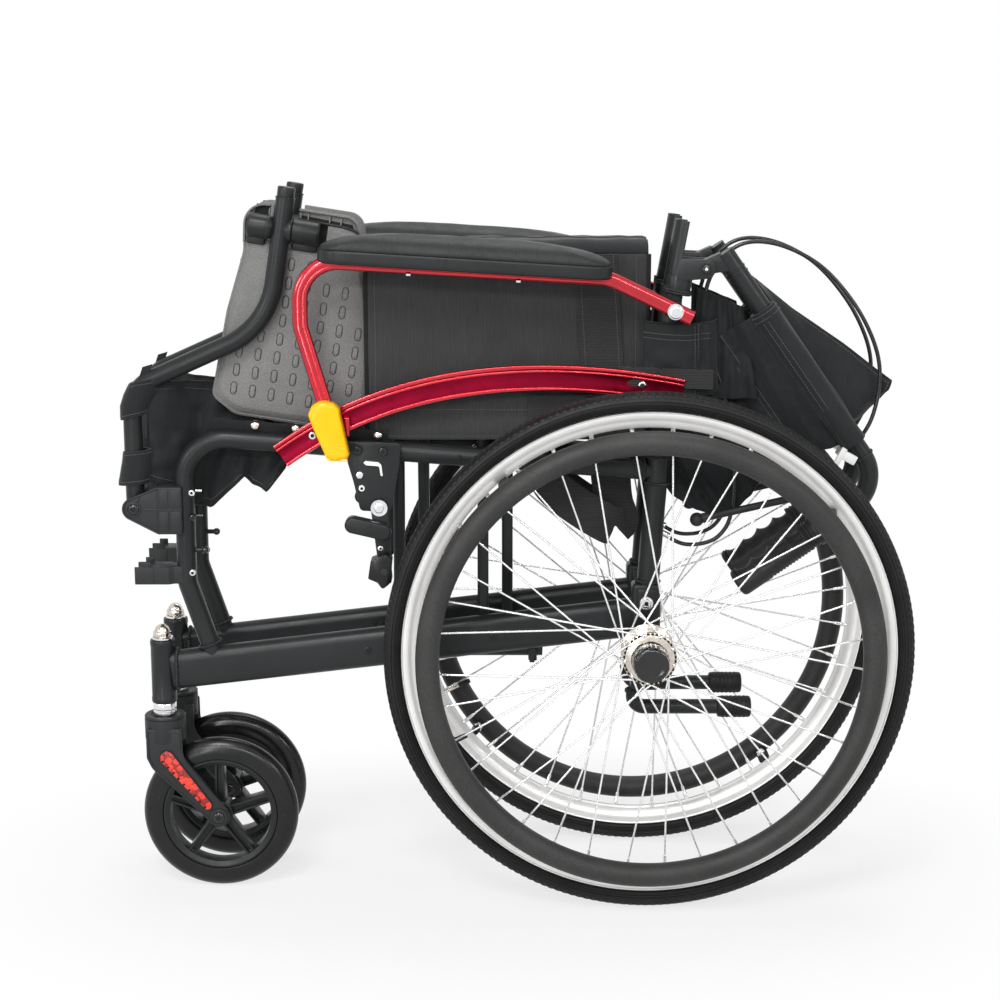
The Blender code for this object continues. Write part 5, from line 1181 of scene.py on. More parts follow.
def tipping_lever():
    """The bent foot bar with its ribbed rubber cap."""
    p = Piece()
    path = rounded([(-0.012, 0.2257), (-0.012, 0.205), (0.086, 0.205)], [0.012], 10)
    p.tube(xz(path), 0.008, POWDER, 24)
    centre = at(0.08, Y, 0.205)
    profile = [(0.0084, -0.001), (0.0108, 0.0), (0.0114, 0.001)]
    for i in range(6):
        base = 0.004 + i * 0.0046
        profile += [(0.0116, base), (0.012, base + 0.0008), (0.012, base + 0.0024),
                    (0.0116, base + 0.0032)]
    profile += [(0.0118, 0.0325), (0.011, 0.035), (0.009, 0.036), (0.0, 0.036)]
    p.turned(profile, centre, (1, 0, 0), TYRE, 32, False)
    p.turned([(0.0082, 0.0), (0.0094, 0.0004), (0.0094, 0.003), (0.0082, 0.0034)],
             at(-0.012, Y, 0.2215), UP, POWDER, 28)
    p.done("tipping_lever", "frame")


def brake_plate():
    """The stamped bracket with its slots, bolts and the lever's pivot."""
    p = Piece()
    y0, y1 = -0.06, -0.064
    outline = rounded_loop([
        (-0.319, 0.5015), (-0.2635, 0.4998), (-0.261, 0.495), (-0.2635, 0.4772),
        (-0.2725, 0.4255), (-0.305, 0.427), (-0.3095, 0.448), (-0.312, 0.459),
        (-0.319, 0.4835)], [0.003, 0.003, 0.003, 0.01, 0.006, 0.005, 0.004, 0.004, 0.006])
    p.plate(outline, y0, y1, POWDER, 0.0007)
    slot = [(-0.302, 0.479), (-0.299, 0.4815), (-0.285, 0.48), (-0.2815, 0.477),
            (-0.28, 0.464), (-0.2835, 0.464), (-0.285, 0.4745), (-0.2985, 0.4755)]
    slot = rounded_loop(slot, [0.0015] * 8, 4)
    p.plate(slot, y1, y1 - 0.0003, WHITE_CLIP)
    p.tube(dense(xz(slot + slot[:1], y1 - 0.0001), 0.002)[:-1], 0.0007, POWDER, 6, closed=True)
    for x, z in ((-0.307, 0.4925), (-0.28, 0.4912)):
        p.rod(at(x, Y - TUBE_R, z - 0.004), at(x, y1 - 0.001, z), 0.0045, POWDER, 20)
        p.turned([(0.0, 0.0), (0.0062, 0.0), (0.0062, 0.001), (0.0, 0.001)], at(x, y1, z), OUT,
                 POWDER, 28, False)
        p.bolt(at(x, y1 - 0.0008, z), OUT, 0.0048, GLOSSY, 0.003)
    p.nut(at(-0.305, y1, 0.466), OUT, 0.0042, 0.003, CHROME)
    p.bolt(at(-0.303, y1, 0.4515), OUT, 0.0036, SPOKE, 0.0022)
    spot = at(BRAKE_PIVOT[0], y1 - 0.0046, BRAKE_PIVOT[1])
    p.rod(spot - OUT * 0.008, spot + OUT * 0.004, 0.0034, CHROME, 18)
    p.turned([(0.0, 0.0), (0.0086, 0.0), (0.0088, 0.0004), (0.0088, 0.001), (0.0, 0.001)], spot,
             OUT, CHROME, 32, False)
    p.nut(spot + OUT * 0.001, OUT, 0.0056, 0.0026, CHROME)
    p.done("brake_plate", "frame")


def brake_lever():
    """A flat lever, its thumb paddle and the black ribbed shoe that meets the tyre."""
    p = Piece()
    y0 = -0.0643
    p.plate(stadium(BRAKE_PIVOT, BRAKE_SHOE, 0.009, 0.007, 14), y0, y0 - 0.0038, POWDER, 0.0006)
    paddle = stadium((-0.312, 0.415), (-0.28, 0.4075), 0.0086, steps=14)
    p.plate(paddle, y0 - 0.003, y0 - 0.02, PLASTIC_FINE, 0.0026, 3)
    p.bolt(at(-0.2837, y0 - 0.0036, 0.3872), OUT, 0.003, SPOKE, 0.0014)
    shoe = [(-0.294, 0.3785), (-0.2972, 0.3576), (-0.2865, 0.353), (-0.281, 0.345),
            (-0.2705, 0.354), (-0.2715, 0.365), (-0.27, 0.379), (-0.276, 0.385)]
    middle = Vector((-0.2835, 0.3655))
    line = rounded_loop(shoe, [0.003, 0.002, 0.002, 0.003, 0.003, 0.004, 0.003, 0.002], 4)
    for i in range(9):
        near = y0 - 0.001 - i * 0.00225
        shape = shrunk(line, middle, 0.846 if i % 2 else 0.94)
        p.plate(shape, near, near - 0.0023, CASTER_RUBBER, 0.0003 if i in (0, 8) else 0.0)
    p.nut(at(BRAKE_SHOE[0], -0.115 + 0.0288, BRAKE_SHOE[1]), OUT, 0.0046, 0.0006, PLASTIC)
    p.done("brake_lever", "brake")


# Armrest


def armrest_bar():
    """The rounded red extrusion: two long swells with a shallow dip between."""
    corners = [ARM_END, ARM_KNEE, ARM_CORNER, ARM_HEEL, ARM_FOOT]
    path = dense(rounded(corners, [0.05, 0.04, 0.04], 20), 0.012)
    p = Piece()
    section = []
    for i in range(25):
        a = 0.0082 * (1 - i / 12)
        swell = 0.005 * math.sqrt(max(0.0, 1 - abs(a / 0.0082) ** 2.6))
        swell -= 0.0007 * math.exp(-((a - 0.0026) / 0.0011) ** 2)
        section.append((a, swell))
    section += [(-0.0076, -0.0042), (-0.0068, -0.005), (0.0068, -0.005), (0.0076, -0.0042)]
    p.swept(path, -ARM_Y, section, RED)
    for end, way in ((path[0], path[0] - path[1]), (path[-1], path[-1] - path[-2])):
        way = way.normalized()
        start = end - way * 0.0004
        cap = [(-0.0072, -0.0044), (-0.0072, 0.003), (0.0, 0.004), (0.0072, 0.003),
               (0.0072, -0.0044)]
        p.swept([start, end + way * 0.0005], -ARM_Y, cap, PLASTIC)
    p.turned([(0.0045, 0.0), (0.008, 0.0), (0.0083, 0.0003), (0.0083, 0.0009)],
             at(ARM_PIVOT[0], -ARM_Y - 0.0042, ARM_PIVOT[1]), OUT, CHROME, 32, False)
    p.done("armrest_bar", "arm")


def arm_top(x):
    share = (x - ARM_KNEE[0]) / (ARM_CORNER[0] - ARM_KNEE[0])
    return ARM_KNEE[1] + share * (ARM_CORNER[1] - ARM_KNEE[1]) + 0.008


def arm_pad():
    """The plastic tray and the foam pad in it."""
    x0, x1 = -0.344, -0.0425
    slope = math.atan2(arm_top(x0) - arm_top(x1), x1 - x0)
    half = 0.025
    length = (x1 - x0) / math.cos(slope)
    middle = (x0 + x1) / 2
    place = Matrix.Translation(at(middle, -PAD_Y, arm_top(middle) - 0.0079))
    place = place @ Matrix.Rotation(slope, 4, "Y")

    def loops(rings, steps=18):
        out = []
        for height, inset, draw in rings:
            radius = half - inset
            reach = length / 2 - half - draw
            left = circle((-reach, 0), radius, math.pi / 2, math.pi, steps)
            right = circle((reach, 0), radius, -math.pi / 2, math.pi, steps)
            run = left[:-1] + [left[-1].lerp(right[0], i / 26) for i in range(27)]
            run += right[1:-1] + [right[-1].lerp(left[0], i / 26) for i in range(26)]
            out.append([place @ Vector((q.x, q.y, height)) for q in run])
        return out

    tray = [(0.0, 0.003, 0), (0.0006, 0.0014, 0), (0.002, 0.0003, 0), (0.0045, 0.0, 0),
            (0.0118, 0.0, 0), (0.013, 0.0001, 0), (0.0137, 0.0005, 0), (0.0139, 0.0011, 0),
            (0.0136, 0.0017, 0), (0.013, 0.0021, 0), (0.0128, 0.006, 0)]
    p = Piece()
    p.rings(loops(tray), PLASTIC_FINE)
    for x in (-0.2512, -0.1381):
        z = arm_top(x) - 0.016
        p.turned([(0.0, -0.0024), (0.0018, -0.0023), (0.003, -0.0014), (0.0033, 0.0006)],
                 at(x, -ARM_Y - 0.002, z), UP, CHROME, 20, False)
    p.done("arm_pad_tray", "arm", ["arm_pad"])

    dome = [(0.0126, 0.0062, 0.0), (0.0128, 0.0026, 0.0), (0.014, 0.0014, 0.0002),
            (0.0158, 0.001, 0.0008), (0.018, 0.0013, 0.0022), (0.0205, 0.0022, 0.005),
            (0.023, 0.0036, 0.0092), (0.0255, 0.0054, 0.015), (0.0278, 0.0077, 0.0222),
            (0.0298, 0.0105, 0.0308), (0.0315, 0.0136, 0.0408), (0.0328, 0.0168, 0.052),
            (0.0337, 0.0198, 0.064), (0.0342, 0.0225, 0.076), (0.0345, 0.0244, 0.088)]
    foam = Piece()
    foam.rings(loops(dome), PAD)
    skin = bpy.data.textures.new("skin", "CLOUDS")
    skin.noise_scale = 0.02
    for pad in foam.done("arm_pad", "arm", (), smooth=60):
        crumple = pad.modifiers.new("skin", "DISPLACE")
        crumple.texture = skin
        crumple.strength = 0.0009
        crumple.mid_level = 0.5


def armrest_latch():
    """The yellow catch: a broad rounded head that narrows to a ribbed thumb end."""
    p = Piece()
    y0 = -0.0813
    corners = [(-0.356, 0.5345), (-0.3522, 0.5435), (-0.345, 0.5478), (-0.3376, 0.5485),
               (-0.3289, 0.5462), (-0.3232, 0.5408), (-0.3222, 0.5335), (-0.3135, 0.4925),
               (-0.3155, 0.4885), (-0.3285, 0.4852), (-0.337, 0.488), (-0.3505, 0.519)]
    line = rounded_loop(corners, [0.006] * 6 + [0.02, 0.003, 0.003, 0.005, 0.006, 0.02])
    middle = Vector((-0.334, 0.518))
    depths = ((0.0, 0.985), (0.0008, 1.0), (0.0096, 1.0), (0.0116, 0.98), (0.013, 0.935),
              (0.0137, 0.86), (0.014, 0.7), (0.0139, 0.35))
    p.rings([xz(shrunk(line, middle, share), y0 - depth) for depth, share in depths], YELLOW)
    for i in range(9):
        z = 0.503 - i * 0.002
        p.rod(*xz([(-0.3428 + i * 0.0008, z), (-0.3182 + i * 0.0004, z - 0.0006)], y0 - 0.0136),
              0.00055, YELLOW, 8)
    p.done("armrest_latch", "latch", smooth=50)


# Leg rest


def legrest_tube():
    """The bent tube with its end cap, eye and the footplate's hinge."""
    p = Piece()
    up = (Vector(LEG_TOP) - Vector(LEG_CORNERS[1])).normalized()
    joint = Vector(LEG_TOP) - up * 0.0115
    corners = [(LEG_PIVOT[0], 0.4257), *LEG_CORNERS, joint]
    p.tube(xz(dense(rounded(corners, [0.038, 0.085], 20), 0.01)), LEG_R + 0.0004, POWDER, 36)
    way = Vector((up.x, 0, up.y))
    top = at(joint.x, Y, joint.y)
    p.turned([(0.009, -0.0006), (0.0104, -0.0004), (0.0106, 0.0002), (0.0104, 0.0008),
              (0.0094, 0.001)], top, way, PLASTIC_FINE, 40, False)
    p.turned([(0.009, 0.0006), (0.0091, 0.0012), (0.0093, 0.01), (0.009, 0.011),
              (0.0082, 0.0116), (0.0, 0.0116)], top, way, PLASTIC_FINE, 40, False)
    eye = at(LEG_PIVOT[0], Y, LEG_PIVOT[1])
    p.turned(mirrored([(0.0043, -0.0108), (0.011, -0.0108), (0.0115, -0.0102)]), eye, OUT,
             POWDER, 40)
    along = hinge_at(1) - hinge_at(0)
    p.rod(hinge_at(-0.0128), hinge_at(0.0104), 0.0118, PLASTIC, 40)
    for base, tip in ((-0.0148, -0.0054), (0.0106, -0.0012)):
        reach = abs(tip - base)
        dome = [(0.0, -0.0004), (0.0127, -0.0004), (0.0129, 0.0)]
        for i in range(1, 17):
            a = math.pi / 2 * i / 16
            dome.append((0.0129 * math.cos(a) ** 0.9, reach * math.sin(a)))
        p.turned(dome, hinge_at(base, 0, -0.0438), along * (1 if tip > base else -1),
                 PLASTIC_FINE, 56, False)
    for s in (-0.015, 0.0108):
        ring = ring_points(hinge_at(s, 0, -0.0436), 0.0127, along, 56)[:-1]
        p.tube(ring, 0.0005, RECESS_SHADE_AND_SEAM, 6, closed=True)
    p.done("legrest_tube", "leg")


FOOT_LINE = [(-0.424, 0.7515), (-0.4265, 0.698), (-0.4455, 0.636), (-0.464, 0.545),
             (-0.44, 0.5247), (-0.3, 0.5033), (-0.2842, 0.61), (-0.3045, 0.733)]
FOOT_FACE = [(-0.415, 0.708), (-0.4172, 0.694), (-0.4362, 0.636), (-0.453, 0.5505),
             (-0.435, 0.535), (-0.31, 0.516), (-0.2955, 0.61), (-0.3085, 0.6905)]


def banked(p, foot, face, depths, look):
    """A raised face with sloping banks: (share of the way in, y) rings, then the face."""
    p.rings([xz([a.lerp(b, share) for a, b in zip(foot, face)], y) for share, y in depths], look)


def footplate():
    """The folded plate: banked face, raised ovals, hinge sleeves and ribs."""
    p = Piece()
    y_in = -0.026
    corner = [0.022, 0.03, 0.05, 0.012, 0.025, 0.02, 0.02, 0.018]
    line = rounded_loop(FOOT_LINE, corner, 9)
    notch = hinge_spots((0.015, 0.0231), (0.015, -0.0195), (-0.015, -0.0195),
                        (-0.015, 0.0231))
    p.plate(line + notch, y_in, y_in - 0.003, GREY, 0.0006)

    foot = [hinge_spot(-0.0375, -0.014), Vector((-0.425, 0.697)), Vector((-0.4438, 0.636)),
            Vector((-0.462, 0.5455)), Vector((-0.4392, 0.5262)), Vector((-0.3012, 0.505)),
            Vector((-0.2857, 0.61)), hinge_spot(0.0865, -0.014)]
    small = [0.006, 0.03, 0.05, 0.012, 0.025, 0.02, 0.02, 0.008]
    banked(p, rounded_loop(foot, small, 9), rounded_loop(FOOT_FACE, small, 9),
           [(0.0, y_in - 0.0022), (0.0, -0.0296), (0.04, -0.0303), (0.1, -0.0303),
            (0.15, -0.03), (0.3, -0.0312), (0.8, -0.0338), (0.92, -0.0343),
            (1.0, -0.0345)], GREY)

    def wall(path):
        """A thin standing rim along a path, inside the line."""
        inner = []
        for i, here in enumerate(path):
            way = (path[min(i + 1, len(path) - 1)] - path[max(i - 1, 0)]).normalized()
            side = Vector((-way.y, way.x))
            if side.dot(Vector((-0.372, 0.65)) - here) < 0:
                side = -side
            inner.append(here + side * 0.0022)
        p.plate(path + inner[::-1], -0.0285, -0.0342, GREY, 0.0005)

    arc = len(line) // len(FOOT_LINE)
    wall([notch[3], *line[:arc], Vector((-0.426, 0.708))])
    wall([Vector((-0.2978, 0.6925)), *line[-arc:], notch[0]])
    # Near-black sheets behind the hinge sleeves: painted shade in the recess round the hinge.
    for shade_patch in (((-0.036, -0.014), (-0.0155, -0.014), (-0.0155, 0.0215), (-0.03, 0.0215)),
                 ((0.0155, -0.014), (0.082, -0.014), (0.072, 0.0145), (0.0155, 0.0165))):
        p.plate(hinge_spots(*shade_patch), -0.0291, -0.0294, RECESS_SHADE_AND_SEAM)
    for s in (-0.0165, 0.0165, 0.0245, 0.047, 0.059):
        low, high = hinge_spot(s, -0.01), hinge_spot(s, 0.019)
        p.plate([low, low + Vector((0.0015, 0)), high + Vector((0.0015, 0)), high], -0.0285,
                -0.033, GREY, 0.0003)
    arm = [hinge_at(s, n, -0.0345) for s, n in ((0.012, 0.012), (0.03, 0.0118), (0.05, 0.0116),
                                               (0.066, 0.0108), (0.078, 0.0074), (0.084, 0.001))]
    p.tube(smooth_route(arm, 6), 0.0014, PLASTIC_FINE, 10)
    p.plate(hinge_spots((0.047, -0.015), (0.084, -0.015), (0.0835, 0.001), (0.078, 0.0072),
                        (0.066, 0.0104), (0.047, 0.011)), -0.0292, -0.034, GREY, 0.0006)
    for near, far in ((-0.0152, -0.036), (0.0112, 0.0398)):
        way = hinge_at(far) - hinge_at(near)
        length = way.length
        p.turned([(0.0045, 0.0), (0.0122, 0.0), (0.0127, 0.0006), (0.0128, length - 0.003),
                  (0.0122, length - 0.001), (0.0108, length), (0.0, length)], hinge_at(near), way,
                 PLASTIC_FINE, 48, False)
        inner, outer = sorted((near, far))
        p.plate(hinge_spots((inner + 0.001, -0.02), (outer - 0.001, -0.02),
                            (outer - 0.001, -0.002), (inner + 0.001, -0.002)),
                y_in - 0.0012, -0.0385, PLASTIC_FINE, 0.0016, 3)
    p.rod(hinge_at(-0.019), hinge_at(0.019), 0.004, CHROME, 20)

    up = hinge_spot(0, 1) - hinge_spot(0, 0)
    for file, first, last in ((-2, 5, 7), (-1, 0, 7), (0, 0, 7), (1, 0, 7), (2, 1, 7), (3, 1, 7),
                              (4, 3, 6)):
        for row in range(first, last + 1):
            spot = hinge_spot(0.0146 + 0.0201 * file - 0.00045 * row,
                              -0.0356 - 0.02 * row - 0.0006 * file)
            outer = stadium(spot - up * 0.0031, spot + up * 0.0031, 0.0028, steps=8)
            p.rings([xz(shrunk(outer, spot, share), -0.0345 + lift) for share, lift in
                     ((1.0, 0.0006), (0.95, -0.0004), (0.8, -0.0009), (0.5, -0.001))], GREY)
            # A black line round each oval's foot: painted shade in the groove where it meets the
            # face.
            p.tube(xz(shrunk(outer, spot, 1.14), -0.03448), 0.00042, PLASTIC, 5, closed=True)
    for i in range(7):
        x = -0.43 + i * 0.0205
        p.box(at(x, y_in - 0.0005, 0.545 + 0.006 * abs(i - 3)), at(x + 0.0016, y_in + 0.001, 0.69),
              GREY, 0.0003)
    p.done("footplate", "foot")


def calf_strap():
    """Two loops round the tube and the full cloth that hangs between the leg rests."""
    p = Piece()

    def loop(levels):
        """A band round the tube: (height, reach ahead, reach behind, half width) levels."""
        outer, inner = [], []
        for z, ahead, behind, wide in levels:
            lean = 0.0085 * max(0.0, (z - 0.54) / 0.024) ** 1.5
            dip = 0.0035 if z > 0.5 else 0.0015
            for rings, less in ((outer, 0.0), (inner, 0.0022)):
                rings.append([at(LEG_PIVOT[0] + lean
                                 + ((ahead if math.cos(a) < 0 else behind) - less) * math.cos(a),
                                 Y + (wide - less) * math.sin(a), z + dip * math.cos(a))
                              for a in angles(48)])
        p.rings(outer + inner[::-1], NYLON, closed=True)
        for ring in (outer[1], outer[-2]):
            sewn(p, ring + ring[:1], 0.0003, 0.0003, 0.003)

    loop([(0.525, 0.0128, 0.015, 0.0127), (0.529, 0.013, 0.017, 0.0131),
          (0.54, 0.0128, 0.02, 0.0134), (0.552, 0.0118, 0.023, 0.0132),
          (0.56, 0.0112, 0.024, 0.0128), (0.564, 0.011, 0.0235, 0.0124)])
    loop([(0.453, 0.0175, 0.015, 0.0124), (0.457, 0.0172, 0.0165, 0.013),
          (0.468, 0.015, 0.018, 0.0134), (0.479, 0.0128, 0.019, 0.013),
          (0.486, 0.0118, 0.0195, 0.0126), (0.489, 0.0114, 0.019, 0.0122)])
    tail = [at(-0.5345, Y - 0.004, 0.56), at(-0.531, Y - 0.0045, 0.57),
            at(-0.5275, Y - 0.004, 0.58)]
    strap_along(p, tail, 0.011, 0.0024, (1, 0, 0.3), NYLON)
    top = [(0.0, -0.529, 0.56), (0.14, -0.504, 0.56), (0.38, -0.464, 0.557),
           (0.62, -0.423, 0.527), (0.8, -0.399, 0.502), (1.0, -0.3835, 0.48)]
    low = [(0.0, -0.529, 0.456), (0.14, -0.501, 0.446), (0.3, -0.485, 0.425),
           (0.42, -0.47, 0.4215), (0.62, -0.433, 0.457), (0.72, -0.424, 0.447),
           (0.86, -0.409, 0.44), (1.0, -0.39, 0.464)]

    def edge(stops, u):
        return Vector([between(u, [(stop[0], stop[i]) for stop in stops]) for i in (1, 2)])

    def spot(v, u):
        here = edge(low, u).lerp(edge(top, u), v)
        side = Y + 0.029 * eased(u * 3.2)
        side += 0.0042 * math.sin(u * 19 + v * 3.5) * eased(u * 4) * (1 - 0.4 * v)
        side += 0.002 * math.sin(u * 41 - v * 7) * eased(u * 3)
        side += ripple((here.x, 0, here.y), 60, 0.0036, 4.0)
        return at(here.x, min(side, -0.0058), here.y)

    grid = grid_of(36, 56, spot)
    for hem in (grid[0], grid[36], column(grid, -1)):
        p.tube(hem, 0.0017, BLACK_TAPE, 10)
    soft = Piece()
    shell(soft, grid, 0.0026, NYLON)
    for row in (2, 34):
        sewn(soft, grid[row], 0.0015, 0.00032, 0.0036)
    loops = p.done("calf_loops", "calf", ["calf_strap"])
    sheets = soft.done("calf_strap", "calf", (), smooth=50)
    for piece in sheets:
        flat_of(grid)
    for piece in loops + sheets:
        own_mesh(piece)


# Back


def back_cane():
    """The cane with its hinge block, bent handle and the hand brake's clamp."""
    p = Piece()
    corners = [folded(-0.002, 0), folded(CANE_LENGTH, 0), folded(CANE_LENGTH, HANDLE_LENGTH)]
    path = dense(rounded(corners, [0.04], 18), 0.012)
    p.tube(xz(path), CANE_R, POWDER, 32)
    block = [folded(0.018, 0.003), folded(-0.004, 0.003)]
    block += circle(CANE_PIVOT, 0.0085, math.radians(105.4), math.radians(215), 20)
    p.plate(block, Y - 0.0085, Y + 0.0085, POWDER, 0.0008)
    cane_way = cane_at(1, Y, 0) - cane_at(0, Y, 0)
    for s in (0.02, 0.026):
        p.turned(mirrored([(0.0105, -0.001), (0.0112, -0.0007)]), cane_at(s, Y, 0), cane_way,
                 POWDER, 32)
    s, n = HAND_PIVOT
    clamp = [folded(*spot) for spot in ((CANE_LENGTH + 0.0115, n - 0.01),
                                        (CANE_LENGTH + 0.0115, n + 0.01),
                                        (s - 0.006, n + 0.007), (s - 0.006, n - 0.007))]
    for side in (-1, 1):
        p.plate(clamp, Y + side * 0.0068, Y + side * 0.0128, PLASTIC, 0.0012)
    ring = mirrored([(0.0106, -0.01), (0.0128, -0.01), (0.0132, -0.0092)])
    handle_way = cane_at(CANE_LENGTH, Y, 1) - cane_at(CANE_LENGTH, Y, 0)
    p.turned(ring, cane_at(CANE_LENGTH, Y, n), handle_way, PLASTIC, 36)
    place = folded(s, n)
    p.pin(place, Y - 0.013, Y + 0.013, 0.0025, CHROME, 16)
    for side in (-1, 1):
        p.bolt(at(place.x, Y + side * 0.0125, place.y), (0, side, 0), 0.0042, CHROME, 0.0022)
    p.bolt(cane_at(CANE_LENGTH + 0.004, Y - 0.0128, n), OUT, 0.003, CHROME, 0.0016)
    for centre, way in ((cane_at(0.262, Y, 0), cane_way),
                        (cane_at(0.2995, Y, 0.042), handle_way)):
        p.turned(mirrored([(0.011, -0.0013), (0.0118, -0.0009)]), centre, way, PLASTIC, 32)
    p.done("back_cane", "cane")


def push_grip():
    """The rubber grip with finger scoops and fine ribs."""
    p = Piece()
    start = cane_at(CANE_LENGTH, Y, 0.084)
    end = cane_at(CANE_LENGTH, Y, 0.1885)
    way = (end - start).normalized()
    inward = (cane_at(0, Y, 0.1) - cane_at(1, Y, 0.1)).normalized()
    side = way.cross(inward).normalized()
    rings = []
    length = (end - start).length
    for i in range(151):
        h = i / 150 * length
        base = 0.0158
        if h < 0.0045:
            base = 0.0174 - 0.0004 * abs(h - 0.0022) / 0.0022
        elif h < 0.0065:
            base = 0.015
        elif h > length - 0.0045:
            rest = (h - (length - 0.0045)) / 0.0045
            base = 0.0158 * math.sqrt(max(0.0, 1 - rest * rest)) * 0.35 + 0.0158 * 0.62
        ring = []
        for a in angles(40):
            facing = math.cos(a)
            radius = base
            if 0.0065 < h < length - 0.006:
                scoop = abs(math.sin((h - 0.012) / 0.0212 * math.pi)) ** 0.8
                if facing > 0 and h > 0.018:
                    radius -= 0.0052 * scoop * eased(facing * 1.8)
                elif facing < 0 and 0.016 < h < length * 0.66:
                    fine = 0.5 + 0.5 * math.cos(h / 0.004 * math.tau)
                    radius -= 0.0011 * (1 - fine) * min(1.0, -facing * 3)
                elif h <= 0.016:
                    radius -= 0.0008 * (1 - math.cos(h / 0.0036 * math.tau))
            ring.append(start + way * h + (inward * math.cos(a) + side * math.sin(a)) * radius)
        rings.append(ring)
    p.rings(rings, GRIP)
    p.done("push_grip", "cane", smooth=60)


def attendant_lever():
    """The hand brake's bar with a ball at its end."""
    p = Piece()
    pivot, end = folded(*HAND_PIVOT), folded(CANE_LENGTH - 0.084, 0.183)
    way = (end - pivot).normalized()
    p.tube(dense(xz([pivot + way * 0.004, end]), 0.01), 0.004, POWDER, 20)
    p.turned(mirrored([(0.0029, -0.0055), (0.006, -0.0055), (0.0065, -0.005)]),
             at(pivot.x, Y, pivot.y), OUT, POWDER, 32)
    ball = at(end.x, Y, end.y)
    p.ball(ball, 0.0075, PLASTIC, 24, 16)
    p.turned([(0.004, -0.0135), (0.0052, -0.013), (0.0055, -0.006)], ball,
             ball - at(pivot.x, Y, pivot.y), PLASTIC, 24, False)
    p.done("attendant_lever", "hand_brake")


def back_sleeve():
    """The tube of cloth round the cane."""

    def round_cane(s, radius, count):
        return [cane_at(s, Y + radius * math.sin(a), radius * math.cos(a)) for a in angles(count)]

    p = Piece()
    rings = []
    for i in range(57):
        v = i / 56
        loose = 0.0006 + 0.003 * eased((v - 0.55) / 0.45)
        ring = []
        for a in angles(56):
            radius = 0.0143 + loose * (0.4 + 0.6 * math.sin(2 * a + 5 * v))
            radius += ripple((math.cos(a) * 2.2, math.sin(a) * 2.2, v * 3.5), 1.0,
                             0.0008 + 0.0024 * eased((v - 0.5) / 0.5))
            radius += 0.0006 * math.exp(-((v - 0.055) / 0.012) ** 2)
            radius = max(radius, 0.0118)
            ring.append(cane_at(0.07 + 0.1736 * v, Y + radius * math.sin(a),
                                radius * math.cos(a)))
        rings.append(ring)
    rings += [round_cane(s, 0.011, 56) for s in (0.2436, 0.07)]
    p.rings(rings, NYLON, closed=True)
    for s in (0.0735, 0.079):
        ring = round_cane(s, 0.0153, 60)
        p.stitches(ring + ring[:1], STITCH, 0.00035, 0.003)
    for n, y in ((0.0085, -0.0128), (0.003, -0.0152)):
        line = [cane_at(0.083 + 0.15 * i / 30, Y + y - 0.0006, n) for i in range(31)]
        p.stitches(line, STITCH, 0.00032, 0.0034)
    cloth(p, "back_sleeve", "back", "stretched", (0.0975, 0.1736), "back_cane", ["back_cloth"])


def back_drape():
    """The cloth that hangs in folds between the canes."""
    low_line = [(0.0, 0.24), (0.045, 0.229), (0.079, 0.215), (0.1, 0.227),
                (0.125, 0.235), (0.147, 0.2395), (0.165, 0.229), (0.178, 0.213),
                (0.19, 0.186)]
    high_line = [(0.0, 0.071), (0.07, 0.07), (0.12, 0.076), (0.16, 0.09), (0.19, 0.12)]

    def spot(v, u):
        n = 0.0115 + 0.1785 * u
        s0, s1 = between(n, high_line), between(n, low_line)
        s = s0 + (s1 - s0) * v
        y = Y + 0.031 * eased(u * 2.6)
        fade = math.sin(math.pi * min(1.0, 0.06 + u * 1.2)) ** 0.6 if u < 0.78 else 0.9
        fold = 0.0034 * math.sin(n * 260 + 2.2 * math.sin(s * 26) + s * 22)
        fold += 0.0016 * math.sin(n * 510 - s * 61 + 1.0)
        y += fold * fade * (0.55 + 0.45 * v)
        y += ripple((s * 0.45, n, 0), 46, 0.005 * fade, 3.0)
        y += ripple((s, n * 1.4, 0), 120, 0.0016 * fade, 8.0)
        return cane_at(s, min(y, -0.0062), n)

    grid = grid_of(64, 72, spot)
    p = Piece()
    shell(p, grid, 0.002, NYLON)
    p.tube(grid[-1], 0.0014, BLACK_TAPE, 8)
    p.tube(column(grid, -1), 0.0012, BLACK_TAPE, 8)
    for j in (16, 18):
        sewn(p, column(grid, j), 0.0012)
    p.tube([q + OUT * 0.0008 for q in column(grid, 47)], 0.0011, NYLON, 8)
    cloth(p, "back_drape", "back", "hung", flat_of(grid), "back_sleeve")


def back_flap():
    """The loose triangle of cloth on the far side of the cane."""
    edge = [(0.044, -0.0125), (0.096, -0.0275), (0.162, -0.0524), (0.206, -0.066),
            (0.2182, -0.0704), (0.224, -0.0625), (0.229, -0.04), (0.233, -0.0125)]
    grid = []
    for here in dense([Vector(q) for q in edge], 0.004):
        line = []
        for j in range(15):
            u = j / 14
            n = -0.012 + (here.y + 0.012) * u
            s = here.x + (0.14 - here.x) * (1 - u) * 0.06
            y = -0.028 + 0.012 * u
            y += ripple((s, n * 1.6, 0), 42, 0.006 * u, 5.0)
            y += 0.002 * math.sin(s * 90 - n * 150) * u
            line.append(cane_at(s, y, n))
        grid.append(line)
    p = Piece()
    shell(p, grid, 0.002, NYLON)
    p.tube(column(grid, -1), 0.0011, BLACK_TAPE, 8)
    sewn(p, column(grid, -2), 0.0012, 0.00032, 0.0036)
    for piece in cloth(p, "back_flap", "back", "hung", flat_of(grid), "back_sleeve",
                       area=grid_area(grid) * 0.999):
        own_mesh(piece)


